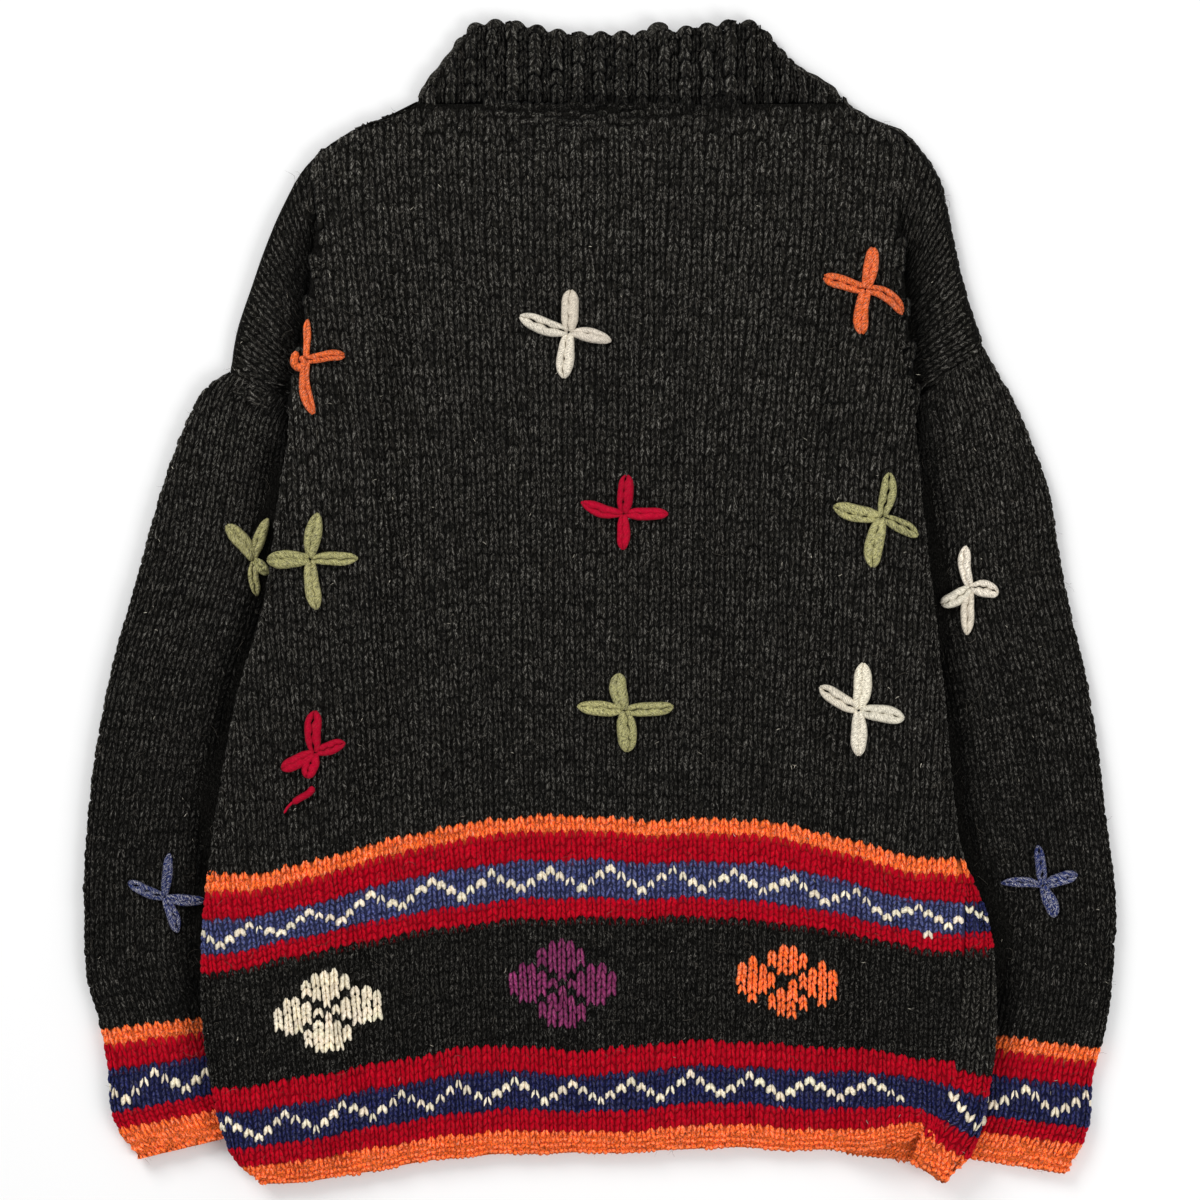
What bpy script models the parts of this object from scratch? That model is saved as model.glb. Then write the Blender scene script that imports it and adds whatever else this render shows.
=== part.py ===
"""A heavy hand-knit wool pullover, laid flat with its back up.

The sleeves are folded down at both sides and lie under the edges of the body. Each piece
that a maker knits is one wall of cloth: the back, the front, two sleeves and the collar.
X runs across the body, Y from the hem towards the collar, and Z up from the surface that
the sweater lies on. All sizes here are millimetres; the meshes are made in metres.
"""

import math
from collections import namedtuple

import bpy
import numpy as np

MM = 0.001
NAME = "hand_knit_sweater"

# The cloth
WALL = 4.0  # thickness of the knitted cloth
FOLD = 5.3  # outer radius where a flattened tube turns at its edge
SEAM = 0.3  # space between two pieces at their seam
THICK = 2 * FOLD  # a flattened tube, both layers of cloth
LIFT = 11.2  # height of the body's underside where it lies over a sleeve
STEP = 10.0  # width of the step from the body down to the shoulder flap
RIB_HEIGHT = 1.4  # how far the collar's ribs stand proud
RIB_COUNT = 17  # ribs across the collar's back
RIB_SLOPE = 0.3  # share of a rib's width, on each side, that slopes down to the groove
SCALLOP = 2.2  # how far each rib runs past the groove at the collar's top edge
NECK_Y = 323.0  # height of the neck seam
HIDDEN_ROWS = 12  # sections of a sleeve, from the cuff up, whose inner edge the body covers
DRAPE_START = 20.0  # how far past a sleeve's inner edge the body starts to come down
DRAPE_END = 50.0  # and how far past it the body lies on the surface
CUFF_START = 8.0  # how far below a cuff the body starts to come down
HEM_FALL = 48.0  # how far below a cuff the body has come down to the surface
BACK_LOW = 257.0  # height where the back lies as low as the shoulders
BACK_HIGH = 150.0  # height where it lies fully on the cloth tucked at the armholes
FRONT_LOW = 127.0  # the same two heights for the front, which the sleeves lift
FRONT_HIGH = 95.0
STRIP = 15.0  # how much of a panel, from its side seam in, follows the turned edge
TURN_FADE = 40.0  # how far in a slanting outline still turns the section's end
ARMHOLE = 16.0  # how far under the fold the front's edge lies beside the armhole
ARMHOLE_ROWS = (8.3, 9.0)  # sections between which that edge moves there
BACK_OPENS = 9.4  # section where the back starts to change from a turned edge to a step
FRONT_OPENS = 9.65  # and the front
ARCH = 2.6  # how flat the knitted rows are in the middle: higher is flatter

# The body, a row for each section from the hem up to the neck: where the row starts at
# the left, where it ends at the right, the height of its middle, and how far the front
# wraps round onto the back at the right. From CORNER on, the ends are the lines along
# which the shoulder flaps begin.
Section = namedtuple("Section", "left_x left_y right_x right_y middle_y wrap")
BODY = [
    Section(-222.0, -378.5, 232.0, -375.5, -358.0, 6.0),
    Section(-239.0, -360.0, 243.0, -356.0, -341.0, 12.0),
    Section(-249.0, -330.0, 249.5, -332.0, -309.0, 17.0),
    Section(-258.0, -273.0, 257.0, -279.0, -250.0, 23.0),
    Section(-258.0, -211.0, 253.0, -212.0, -182.0, 18.0),
    Section(-251.0, -153.0, 233.0, -155.0, -125.0, 3.0),
    Section(-236.0, -65.0, 223.5, -65.0, -44.0, 0.0),
    Section(-218.5, -5.0, 216.5, -3.0, 10.0, 0.0),
    Section(-208.5, 66.0, 208.5, 67.0, 76.0, 0.0),
    Section(-202.0, 109.0, 205.0, 110.0, 114.0, 0.0),
    Section(-200.5, 129.0, 204.0, 129.0, 131.0, 0.0),
    Section(-192.0, 159.0, 199.5, 159.0, 162.0, 0.0),
    Section(-187.0, 195.0, 196.0, 195.0, 195.0, 0.0),
    Section(-183.0, 227.0, 194.0, 226.0, 226.0, 0.0),
    Section(-179.0, 257.0, 192.0, 254.0, 255.0, 0.0),
    Section(-170.0, 281.0, 185.0, 281.0, 278.0, 0.0),
    Section(-148.0, 302.0, 173.0, 302.0, 298.0, 0.0),
    Section(-125.0, 314.0, 158.0, 314.0, 312.0, 0.0),
    Section(-106.0, NECK_Y, 145.0, NECK_Y, NECK_Y, 0.0),
]
CORNER = 10
NECK = len(BODY) - 1

# The shoulder flaps, a row for each section from CORNER up: the outer edge of each.
Flap = namedtuple("Flap", "left_x left_y right_x right_y")
FLAPS = [
    Flap(-241.0, 149.5, 249.0, 166.5),
    Flap(-236.5, 176.0, 243.5, 184.0),
    Flap(-227.5, 203.0, 236.5, 207.0),
    Flap(-218.0, 230.0, 231.5, 229.0),
    Flap(-206.5, 257.0, 227.0, 251.0),
    Flap(-191.5, 283.0, 219.0, 278.0),
    Flap(-167.0, 303.0, 200.0, 303.0),
    Flap(-140.0, 314.5, 177.0, 313.5),
    Flap(-121.0, NECK_Y, 160.5, NECK_Y),
]

# The sleeves, a row for each section from the cuff up: the outer edge, and the inner
# edge, which lies under the body. The last section follows the armhole seam.
Cut = namedtuple("Cut", "outer_x outer_y inner_x inner_y")
LEFT_SLEEVE = [
    Cut(-301.0, -364.0, -191.0, -338.0),
    Cut(-312.0, -348.0, -193.0, -324.0),
    Cut(-318.5, -331.0, -195.0, -309.0),
    Cut(-321.0, -302.0, -196.5, -286.0),
    Cut(-326.5, -273.0, -197.0, -260.0),
    Cut(-334.5, -243.0, -197.0, -231.0),
    Cut(-336.0, -205.0, -196.0, -195.0),
    Cut(-335.5, -169.0, -195.0, -162.0),
    Cut(-331.0, -117.0, -191.0, -123.0),
    Cut(-323.0, -68.0, -186.0, -81.0),
    Cut(-311.5, -20.0, -179.0, -42.0),
    Cut(-299.0, 23.0, -172.0, 2.0),
    Cut(-288.5, 62.0, -174.0, 40.0),
    Cut(-278.0, 94.0, -186.0, 72.0),
    Cut(-267.0, 121.0, -198.0, 95.0),
    Cut(-257.0, 138.0, -201.5, 112.0),
]
RIGHT_SLEEVE = [
    Cut(304.0, -374.0, 194.0, -357.0),
    Cut(313.5, -356.0, 196.0, -341.0),
    Cut(319.5, -337.0, 197.0, -322.0),
    Cut(320.5, -312.0, 198.5, -299.0),
    Cut(327.0, -289.0, 199.0, -273.0),
    Cut(332.5, -260.0, 199.0, -244.0),
    Cut(335.0, -227.0, 199.0, -214.0),
    Cut(336.0, -195.0, 197.5, -185.0),
    Cut(331.0, -153.0, 195.5, -149.0),
    Cut(325.0, -104.0, 192.0, -114.0),
    Cut(317.0, -52.0, 186.0, -78.0),
    Cut(307.0, -10.0, 178.0, -26.0),
    Cut(298.5, 32.0, 176.0, 14.0),
    Cut(294.0, 65.0, 182.0, 48.0),
    Cut(283.0, 98.0, 196.0, 74.0),
    Cut(268.0, 133.0, 203.5, 97.0),
    Cut(260.0, 146.0, 205.0, 114.0),
]
SEAM_SHARE = 0.9  # how much of the flap's lower edge the sleeve's end follows

# The collar, a row for each section from the neck seam to the top edge.
Band = namedtuple("Band", "left_x right_x middle_y left_y right_y")
COLLAR = [
    Band(-121.0, 160.5, NECK_Y + SEAM, NECK_Y + SEAM, NECK_Y + SEAM),
    Band(-112.5, 149.0, 336.0, 338.0, 337.5),
    Band(-102.0, 128.5, 347.5, 351.0, 348.5),
    Band(-92.0, 115.0, 359.5, 364.5, 363.0),
    Band(-83.0, 106.5, 371.0, 377.3, 375.5),
]

# How fine each mesh is
BODY_ROWS = sorted([k * 0.5 for k in range(21)] + [4.25, 4.75, 5.25])
YOKE_ROWS = list(range(CORNER, NECK + 1))
DRAPE = [0.05, 0.095, 0.13, 0.165, 0.2, 0.24, 0.37]  # columns where the body comes off a sleeve
FLAP_MIDDLE = 3
FOLD_STEPS = 4
EDGE_STEPS = [0.0, 0.06, 0.2, 0.42, 0.68, 1.0]
FRONT_STEPS = 5
WRAP_STEPS = 9
SLEEVE_ROWS = 22
SLEEVE_TOP = 5
SLEEVE_UNDER = 3
COLLAR_ROWS = 6
RIB_STEPS = 3
COLLAR_UNDERSIDE = [0.0, 0.02, 0.037, 0.1, 0.5, 0.9, 0.963, 0.98]
PROBE = 0.01  # how far apart two points are when a surface's slope is measured

CHARCOAL = (0.026, 0.024, 0.021, 1.0)
RIBBED_CHARCOAL = (0.022, 0.020, 0.018, 1.0)


def clear_scene():
    for item in list(bpy.data.objects):
        bpy.data.objects.remove(item, do_unlink=True)


def smooth_step(low, high, value):
    share = np.clip((value - low) / (high - low), 0.0, 1.0)
    return share * share * (3.0 - 2.0 * share)


def along(table, at):
    """The table's row at a place between two rows, on a smooth curve through all of them."""
    values = np.array(table, float)
    last = len(values) - 1
    start = int(min(max(math.floor(at), 0), last - 1))
    t = at - start
    before = values[max(start - 1, 0)]
    here = values[start]
    after = values[start + 1]
    beyond = values[min(start + 2, last)]
    slope_in = (after - before) / 2.0
    slope_out = (beyond - here) / 2.0
    keep = (2 * t**3 - 3 * t**2 + 1) * here + (t**3 - 2 * t**2 + t) * slope_in
    reach = (-2 * t**3 + 3 * t**2) * after + (t**3 - t**2) * slope_out
    return type(table[0])(*(keep + reach))


def sleeve_edge(table, y):
    """How far in the sleeve's hidden edge lies at this height."""
    heights = [cut.inner_y for cut in table[:HIDDEN_ROWS]]
    places = [cut.inner_x for cut in table[:HIDDEN_ROWS]]
    return np.interp(y, heights, places)


def cuff_line(table, x):
    """The height of the cuff's lower edge, continued to both sides."""
    cuff = table[0]
    slope = (cuff.inner_y - cuff.outer_y) / (cuff.inner_x - cuff.outer_x)
    return cuff.outer_y + slope * (x - cuff.outer_x)


def over_sleeves(x, y):
    """1 where the body lies on a sleeve, falling to 0 past the sleeve's edge and its cuff."""
    left_edge = sleeve_edge(LEFT_SLEEVE, y)
    right_edge = sleeve_edge(RIGHT_SLEEVE, y)
    left = smooth_step(left_edge + DRAPE_END, left_edge + DRAPE_START, x)
    right = smooth_step(right_edge - DRAPE_END, right_edge - DRAPE_START, x)
    left_hem = smooth_step(HEM_FALL, CUFF_START, cuff_line(LEFT_SLEEVE, x) - y)
    right_hem = smooth_step(HEM_FALL, CUFF_START, cuff_line(RIGHT_SLEEVE, x) - y)
    return max(left * left_hem, right * right_hem)


def back_rest(x, y):
    """Height under the back's share of the body: the cloth tucked at the armhole lifts it."""
    return LIFT * over_sleeves(x, y) * smooth_step(BACK_LOW, BACK_HIGH, y)


def front_rest(x, y):
    """Height of the front's underside: flat on the surface in the middle and above the sleeves."""
    return LIFT * over_sleeves(x, y) * smooth_step(FRONT_LOW, FRONT_HIGH, y)


def edge_turn(at, from_right):
    """How the way in from the body's outline differs from the way along the section.

    The cloth turns over squarely to the outline, also where the outline slants.
    """
    low = along(BODY, max(at - PROBE, 0.0))
    high = along(BODY, at + PROBE)
    if from_right:
        run = np.array([high.right_x - low.right_x, high.right_y - low.right_y])
        square = np.array([-run[1], run[0]])
        level = np.array([-1.0, 0.0])
    else:
        run = np.array([high.left_x - low.left_x, high.left_y - low.left_y])
        square = np.array([run[1], -run[0]])
        level = np.array([1.0, 0.0])
    fade = smooth_step(CORNER, CORNER - 1.0, at)
    return (square / np.linalg.norm(square) - level) * fade


def body_place(at, inset, from_right):
    """The plan position this far in from one end of a section."""
    section = along(BODY, at)
    width = section.right_x - section.left_x
    u = inset / width
    if from_right:
        u = 1.0 - u
    ends = section.left_y * (1.0 - u) + section.right_y * u
    middle = (section.left_y + section.right_y) / 2.0
    bulge = (section.middle_y - middle) * (1.0 - abs(2.0 * u - 1.0) ** ARCH)
    turned = min(inset, FOLD) * smooth_step(TURN_FADE, FOLD, inset)
    shift = edge_turn(at, from_right) * turned if turned else (0.0, 0.0)
    return section.left_x + width * u + shift[0], ends + bulge + shift[1]


def turned_edge(run):
    """How far in, and how far above the fold's middle, a point lies this far round the fold.

    A positive run goes over the top and a negative one goes underneath.
    """
    quarter = FOLD * math.pi / 2.0
    if abs(run) <= quarter:
        angle = run / FOLD
        return FOLD * (1.0 - math.cos(angle)), FOLD * math.sin(angle)
    return FOLD + abs(run) - quarter, math.copysign(FOLD, run)


def run_to(inset):
    """How far round the fold a point lies that is this far in, on top."""
    inset = max(inset, 0.0)
    if inset >= FOLD:
        return FOLD * math.pi / 2.0 + inset - FOLD
    return FOLD * math.acos(1.0 - inset / FOLD)


def seam_run(at, from_right):
    """How far round the fold the side seam lies."""
    return run_to(along(BODY, at).wrap) if from_right else 0.0


def back_edge(at, share, from_right, gap):
    """A point of the back near one side, from its seam (share 0) to flat cloth (share 1)."""
    run = seam_run(at, from_right) + gap / 2.0 + share * STRIP
    inset, rise = turned_edge(run)
    x, y = body_place(at, inset, from_right)
    rolled = np.array([x, y, back_rest(x, y) + FOLD + rise])
    x, y = body_place(at, share * STEP, from_right)
    climb = back_rest(*body_place(at, STEP, from_right))
    climb *= math.sqrt(max(0.0, 1.0 - (1.0 - share) ** 2))
    stepped = np.array([x, y, THICK + climb])
    blend = smooth_step(BACK_OPENS, CORNER, at)
    return rolled * (1.0 - blend) + stepped * blend


def front_edge(at, share, from_right, gap):
    """A point of the front near one side, from its seam (share 0) to flat cloth (share 1)."""
    under = ARMHOLE * smooth_step(*ARMHOLE_ROWS, at)
    first = seam_run(at, from_right) - gap / 2.0 - under
    last = -STRIP - under / 2.0
    inset, rise = turned_edge(first + share * (last - first))
    x, y = body_place(at, inset, from_right)
    rolled = np.array([x, y, front_rest(x, y) + FOLD + rise])
    x, y = body_place(at, share * STEP, from_right)
    flat = np.array([x, y, front_rest(x, y)])
    blend = smooth_step(FRONT_OPENS, CORNER, at)
    return rolled * (1.0 - blend) + flat * blend


def middle_point(at, share, edge, rest, height, gap):
    """A point of a panel between its side strips; both panels' columns lie over each other."""
    start = along(BODY, at).left_x
    first = back_edge(at, 1.0, False, gap)[0] - start
    last = back_edge(at, 1.0, True, gap)[0] - start
    shares = [0.0, DRAPE[0], 1.0 - DRAPE[0], 1.0]
    insets = [first + (last - first) * stop for stop in shares]
    insets[0] = edge(at, 1.0, False, gap)[0] - start
    insets[3] = edge(at, 1.0, True, gap)[0] - start
    x, y = body_place(at, float(np.interp(share, shares, insets)), False)
    return np.array([x, y, rest(x, y) + height])


def panel_point(at, place, gap, edge, rest, height):
    """A point of a panel; place runs -1..0 over the left strip, 0..1 over the middle, 1..2 right."""
    if place <= 0.0:
        return edge(at, place + 1.0, False, gap)
    if place >= 1.0:
        return edge(at, 2.0 - place, True, gap)
    return middle_point(at, place, edge, rest, height, gap)


def back_point(at, place, gap):
    return panel_point(at, place, gap, back_edge, back_rest, THICK)


def front_point(at, place, gap):
    return panel_point(at, place, gap, front_edge, front_rest, 0.0)


def flap_lines(at, from_right):
    """The outer edge of a shoulder flap, and the line where it meets the body, at one section."""
    section = along(BODY, at)
    flap = along(FLAPS, at - CORNER)
    if from_right:
        return np.array([flap.right_x, flap.right_y]), np.array([section.right_x, section.right_y])
    return np.array([flap.left_x, flap.left_y]), np.array([section.left_x, section.left_y])


def flap_point(at, place, gap, from_right, upward):
    """A point of a shoulder flap: place -1..0 rounds its outer edge, 0..1 runs to the body."""
    outer, inner = flap_lines(at, from_right)
    before = flap_lines(max(at - PROBE, CORNER), from_right)[0]
    after = flap_lines(min(at + PROBE, NECK), from_right)[0]
    square = np.array([before[1] - after[1], after[0] - before[0]])
    square *= (1.0 if from_right else -1.0) / np.linalg.norm(square)
    first = gap / 2.0
    last = FOLD * math.pi / 2.0
    run = first + (last - first) * min(place + 1.0, 1.0)
    inset, rise = turned_edge(run if upward else -run)
    spot = outer + square * inset
    spot = spot + (inner - spot) * max(place, 0.0)
    return np.array([spot[0], spot[1], FOLD + rise])


def outward(surface, at, place, span, side):
    """The way out of the cloth at one point, measured at the seam itself and not beside it."""
    low = max(at - PROBE, span[0])
    high = min(at + PROBE, span[1])
    up = surface(high, place, 0.0) - surface(low, place, 0.0)
    across = surface(at, place + PROBE, 0.0) - surface(at, place - PROBE, 0.0)
    normal = np.cross(across, up) * side
    return normal / np.linalg.norm(normal)


def sheet(surface, rows, places, span, side):
    """Points of a surface and its outward directions, a row for each section."""
    points = np.array([[surface(at, place, SEAM) for place in places] for at in rows])
    normals = [[outward(surface, at, place, span, side) for place in places] for at in rows]
    return points, np.array(normals)


def side_places(left_steps, right_steps):
    """Places across a panel: the left strip, the middle, and the right strip."""
    left = [share - 1.0 for share in left_steps]
    centre = DRAPE + [1.0 - share for share in reversed(DRAPE)]
    right = [2.0 - share for share in reversed(right_steps)]
    return left + centre + right


def even(count):
    return [k / count for k in range(count + 1)]


def flap_places():
    rounded = [share - 1.0 for share in even(FOLD_STEPS)]
    flat = [k / FLAP_MIDDLE for k in range(1, FLAP_MIDDLE + 1)]
    return rounded + flat


def joined_flap(main, surface, from_right, side):
    """A flap's sheet, sharing the line along which it meets the panel's own sheet."""
    points, normals = sheet(surface, YOKE_ROWS, flap_places(), (CORNER, NECK), side)
    column = -1 if from_right else 0
    main_points, main_normals = main
    rows = main_points.shape[0] - len(YOKE_ROWS)
    shared = main_normals[rows:, column] + normals[:, -1]
    shared /= np.linalg.norm(shared, axis=1)[:, None]
    points[:, -1] = main_points[rows:, column]
    normals[:, -1] = shared
    main_normals[rows:, column] = shared
    return points, normals


def wall(outer, normals, thickness):
    return outer, outer - thickness * normals


class WallMesh:
    """One closed wall of cloth, from sheets that share points where they meet."""

    def __init__(self):
        self.numbers = {}
        self.outer = []
        self.inner = []
        self.faces = []

    def number(self, outside, inside):
        key = tuple(np.round(outside, 4))
        if key not in self.numbers:
            self.numbers[key] = len(self.outer)
            self.outer.append(outside)
            self.inner.append(inside)
        return self.numbers[key]

    def add(self, outer, inner, flip):
        rows, columns = outer.shape[:2]
        ids = [[self.number(outer[r, c], inner[r, c]) for c in range(columns)] for r in range(rows)]
        for r in range(rows - 1):
            for c in range(columns - 1):
                face = [ids[r][c], ids[r][c + 1], ids[r + 1][c + 1], ids[r + 1][c]]
                self.faces.append(face[::-1] if flip else face)

    def rim(self):
        """The directed edges that only one face has."""
        edges = set()
        for face in self.faces:
            edges.update(zip(face, face[1:] + face[:1]))
        return sorted(edge for edge in edges if edge[::-1] not in edges)

    def rim_faces(self, a, b):
        """The rim beside one edge, split alike on both sides of a seam."""
        count = len(self.outer)
        if self.outer[a][1] > self.outer[b][1]:
            return [[b, a, count + b], [a, count + a, count + b]]
        return [[b, a, count + a], [b, count + a, count + b]]

    def mesh(self, name):
        count = len(self.outer)
        faces = list(self.faces)
        faces += [[count + k for k in reversed(face)] for face in self.faces]
        for a, b in self.rim():
            faces += self.rim_faces(a, b)
        made = bpy.data.meshes.new(name)
        points = np.array(self.outer + self.inner) * MM
        made.from_pydata(points.tolist(), [], faces)
        made.update()
        return made


def wool(name, colour):
    material = bpy.data.materials.new(name)
    material.use_nodes = True
    shader = material.node_tree.nodes["Principled BSDF"]
    shader.inputs["Base Color"].default_value = colour
    shader.inputs["Roughness"].default_value = 0.95
    shader.inputs["Metallic"].default_value = 0.0
    return material


def place_piece(name, mesh, material, collection):
    piece = bpy.data.objects.new(name, mesh)
    mesh.materials.append(material)
    mesh.shade_smooth()
    mesh.set_sharp_from_angle(angle=math.radians(50))
    collection.objects.link(piece)
    return piece


def flap_surface(from_right, upward):
    def surface(at, place, gap):
        return flap_point(at, place, gap, from_right, upward)

    return surface


def panel_mesh(name, surface, places, upward):
    """The back (upward) or the front: the panel's sheet with a flap at each shoulder."""
    side = 1.0 if upward else -1.0
    main = sheet(surface, BODY_ROWS + YOKE_ROWS[1:], places, (0, NECK), side)
    left = joined_flap(main, flap_surface(False, upward), False, side)
    right = joined_flap(main, flap_surface(True, upward), True, -side)
    cloth = WallMesh()
    cloth.add(*wall(*main, WALL), not upward)
    cloth.add(*wall(*left, WALL), not upward)
    cloth.add(*wall(*right, WALL), upward)
    return cloth.mesh(name)


def sleeve_sections(table, flap_start, fold_start):
    """The sleeve's sections, ending in one that follows the flap's lower edge across the seam."""
    start = np.array(flap_start)
    along_seam = np.array(fold_start) - start
    away = np.array([along_seam[1], -along_seam[0]]) / np.linalg.norm(along_seam)
    if away[1] > 0:
        away = -away
    outer = start + away * SEAM
    inner = outer + along_seam * SEAM_SHARE
    return table + [Cut(outer[0], outer[1], inner[0], inner[1])]


def ring_steps(top_steps, bottom_shares):
    """Round a flattened tube: (part, share) for each point, from the outer fold over the top."""
    ring = [("outer", share) for share in even(FOLD_STEPS)[:-1]]
    ring += [("top", share) for share in even(top_steps)[:-1]]
    ring += [("inner", share) for share in even(FOLD_STEPS)[:-1]]
    ring += [("bottom", share) for share in bottom_shares]
    return ring + ring[:1]


def ring_point(first, last, part, share):
    """A point of a flattened tube between two edges in plan, and its outward direction."""
    span = last - first
    width = np.linalg.norm(span)
    across = np.array([span[0] / width, span[1] / width, 0.0])
    up = np.array([0.0, 0.0, 1.0])
    near = np.array([first[0], first[1], FOLD]) + across * FOLD
    far = np.array([last[0], last[1], FOLD]) - across * FOLD
    if part == "outer":
        angle = math.pi * (share - 0.5)
        normal = -across * math.cos(angle) + up * math.sin(angle)
        return near + normal * FOLD, normal
    if part == "inner":
        angle = math.pi * (0.5 - share)
        normal = across * math.cos(angle) + up * math.sin(angle)
        return far + normal * FOLD, normal
    if part == "top":
        return near + (far - near) * share + up * FOLD, up
    return far + (near - far) * share - up * FOLD, -up


def sleeve_mesh(name, sections, mirrored):
    ring = ring_steps(SLEEVE_TOP, even(SLEEVE_UNDER)[:-1])
    outer = []
    normals = []
    for k in range(SLEEVE_ROWS + 1):
        cut = along(sections, k * (len(sections) - 1) / SLEEVE_ROWS)
        first = np.array([cut.outer_x, cut.outer_y])
        last = np.array([cut.inner_x, cut.inner_y])
        made = [ring_point(first, last, part, share) for part, share in ring]
        outer.append([point for point, _ in made])
        normals.append([normal for _, normal in made])
    cloth = WallMesh()
    cloth.add(*wall(np.array(outer), np.array(normals), WALL), mirrored)
    return cloth.mesh(name)


def rib_height(share):
    """The collar's ribs across its back: flat crests with a narrow groove between them."""
    phase = (share * RIB_COUNT) % 1.0
    return float(smooth_step(0.0, RIB_SLOPE, min(phase, 1.0 - phase)))


def neck_line():
    """The neck seam in plan, from the left shoulder to the right one."""
    left = [flap_point(NECK, place, SEAM, False, True) for place in flap_places()]
    middle = [back_point(NECK, place, SEAM) for place in side_places(EDGE_STEPS, EDGE_STEPS)]
    right = [flap_point(NECK, place, SEAM, True, True) for place in reversed(flap_places())]
    return np.array(left + middle[1:-1] + right)[:, :2]


def collar_ring(band, ring, is_top_edge):
    """The plain surface, the ribbed one and the outward directions round the collar."""
    plain, ribbed, normals = [], [], []
    first = np.array([band.left_x, band.left_y])
    last = np.array([band.right_x, band.right_y])
    for part, share in ring:
        point, normal = ring_point(first, last, part, share)
        u = (point[0] - first[0]) / (last[0] - first[0])
        chord = first[1] + (last[1] - first[1]) * u
        dip = band.middle_y - (first[1] + last[1]) / 2.0
        point[1] = chord + dip * (1.0 - (2.0 * u - 1.0) ** 2)
        raised = rib_height(share) if part == "top" else 0.0
        if is_top_edge:
            point[1] += SCALLOP * raised
        plain.append(point)
        ribbed.append(point + normal * RIB_HEIGHT * raised)
        normals.append(normal)
    return plain, ribbed, normals


def collar_mesh(name):
    ring = ring_steps(RIB_COUNT * RIB_STEPS, COLLAR_UNDERSIDE)
    rings = []
    for k in range(COLLAR_ROWS + 1):
        band = along(COLLAR, k * (len(COLLAR) - 1) / COLLAR_ROWS)
        rings.append(collar_ring(band, ring, k == COLLAR_ROWS))
    plain, ribbed, normals = (np.array(part) for part in zip(*rings))
    inside = plain - WALL * normals
    seam = neck_line()
    for points in (ribbed, inside):
        points[0, :, 1] = np.interp(points[0, :, 0], seam[:, 0], seam[:, 1]) + 1.5 * SEAM
    cloth = WallMesh()
    cloth.add(ribbed, inside, False)
    return cloth.mesh(name)


def build():
    clear_scene()
    collection = bpy.data.collections.new(NAME)
    bpy.context.scene.collection.children.link(collection)
    back_places = side_places(EDGE_STEPS, EDGE_STEPS)
    front_places = side_places(even(FRONT_STEPS), even(WRAP_STEPS))
    back = panel_mesh("back", back_point, back_places, True)
    front = panel_mesh("front", front_point, front_places, False)
    corner = BODY[CORNER]
    flap = FLAPS[0]
    left_seam = (flap.left_x, flap.left_y), (corner.left_x, corner.left_y)
    right_seam = (flap.right_x, flap.right_y), (corner.right_x, corner.right_y)
    left = sleeve_mesh("sleeve_left", sleeve_sections(LEFT_SLEEVE, *left_seam), False)
    right = sleeve_mesh("sleeve_right", sleeve_sections(RIGHT_SLEEVE, *right_seam), True)
    collar = collar_mesh("collar")
    place_piece("back", back, wool("back_wool", CHARCOAL), collection)
    place_piece("front", front, wool("front_wool", CHARCOAL), collection)
    place_piece("sleeve_left", left, wool("sleeve_left_wool", CHARCOAL), collection)
    place_piece("sleeve_right", right, wool("sleeve_right_wool", CHARCOAL), collection)
    place_piece("collar", collar, wool("collar_wool", RIBBED_CHARCOAL), collection)


build()
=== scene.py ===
import math

import bpy
import numpy as np
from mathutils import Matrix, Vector
from mathutils.bvhtree import BVHTree


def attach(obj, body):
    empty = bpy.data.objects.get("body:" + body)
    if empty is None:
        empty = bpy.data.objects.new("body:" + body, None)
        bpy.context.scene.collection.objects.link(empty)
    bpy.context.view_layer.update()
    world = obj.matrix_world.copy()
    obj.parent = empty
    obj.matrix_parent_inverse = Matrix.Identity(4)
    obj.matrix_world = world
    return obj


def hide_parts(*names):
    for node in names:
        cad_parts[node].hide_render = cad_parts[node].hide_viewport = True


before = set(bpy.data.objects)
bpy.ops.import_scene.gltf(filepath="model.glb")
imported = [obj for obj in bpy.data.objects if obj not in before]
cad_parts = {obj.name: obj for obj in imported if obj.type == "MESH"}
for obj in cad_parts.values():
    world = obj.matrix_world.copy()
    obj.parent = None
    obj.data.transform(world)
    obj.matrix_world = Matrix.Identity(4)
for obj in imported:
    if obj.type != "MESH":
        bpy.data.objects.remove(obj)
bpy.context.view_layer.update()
mm = 0.001
rng = np.random.default_rng(11)

# sizes of the cloth as it lies, most of them the same as the solids'
cloth = {
    "fold": 5.3,  # outer radius where a flattened tube turns at its edge
    "lift": 11.2,  # how high the body lies over a sleeve
    "step": 7.0,  # width of the step from the body down to the shoulder flap
    "cuffStart": 8.0,  # how far below a cuff the body starts to come down
    "hemFall": 48.0,  # and how far below it lies on the surface
    "drapeStart": 20.0,  # the same past a sleeve's hidden edge
    "drapeEnd": 50.0,
    "backLow": 285.0,  # height where the back lies as low as the shoulders
    "backHigh": 185.0,
    "armhole": 129.0,  # height of the lower end of the armhole crease
    "neck": 323.0,  # height of the neck seam
    "neckLeft": -121.0,  # and its ends
    "neckRight": 160.5,
    "nape": 8.0,  # x where the neck seam lies deepest
    "napeWidth": 95.0,
    "valley": 7.0,  # how deep the cloth beside the body's edge sinks
    "firstRow": 3.6,  # height of a course below course 0
    "backing": 1.2,  # how far the plain cloth lies under the stitches' surface
    "wall": 2.4,  # how thick that cloth is, in one layer
    "tubeWall": 1.6,  # and in a flattened tube
    "ridge": 2.0,  # a low ridge along the body's sides
    "seamDip": 4.2,  # how deep the back sinks to the neck seam
}
fold = cloth["fold"]
thick = 2 * fold
quarter = fold * math.pi / 2
slack = quarter - fold  # how much more cloth there is round a quarter fold than in plan


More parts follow.
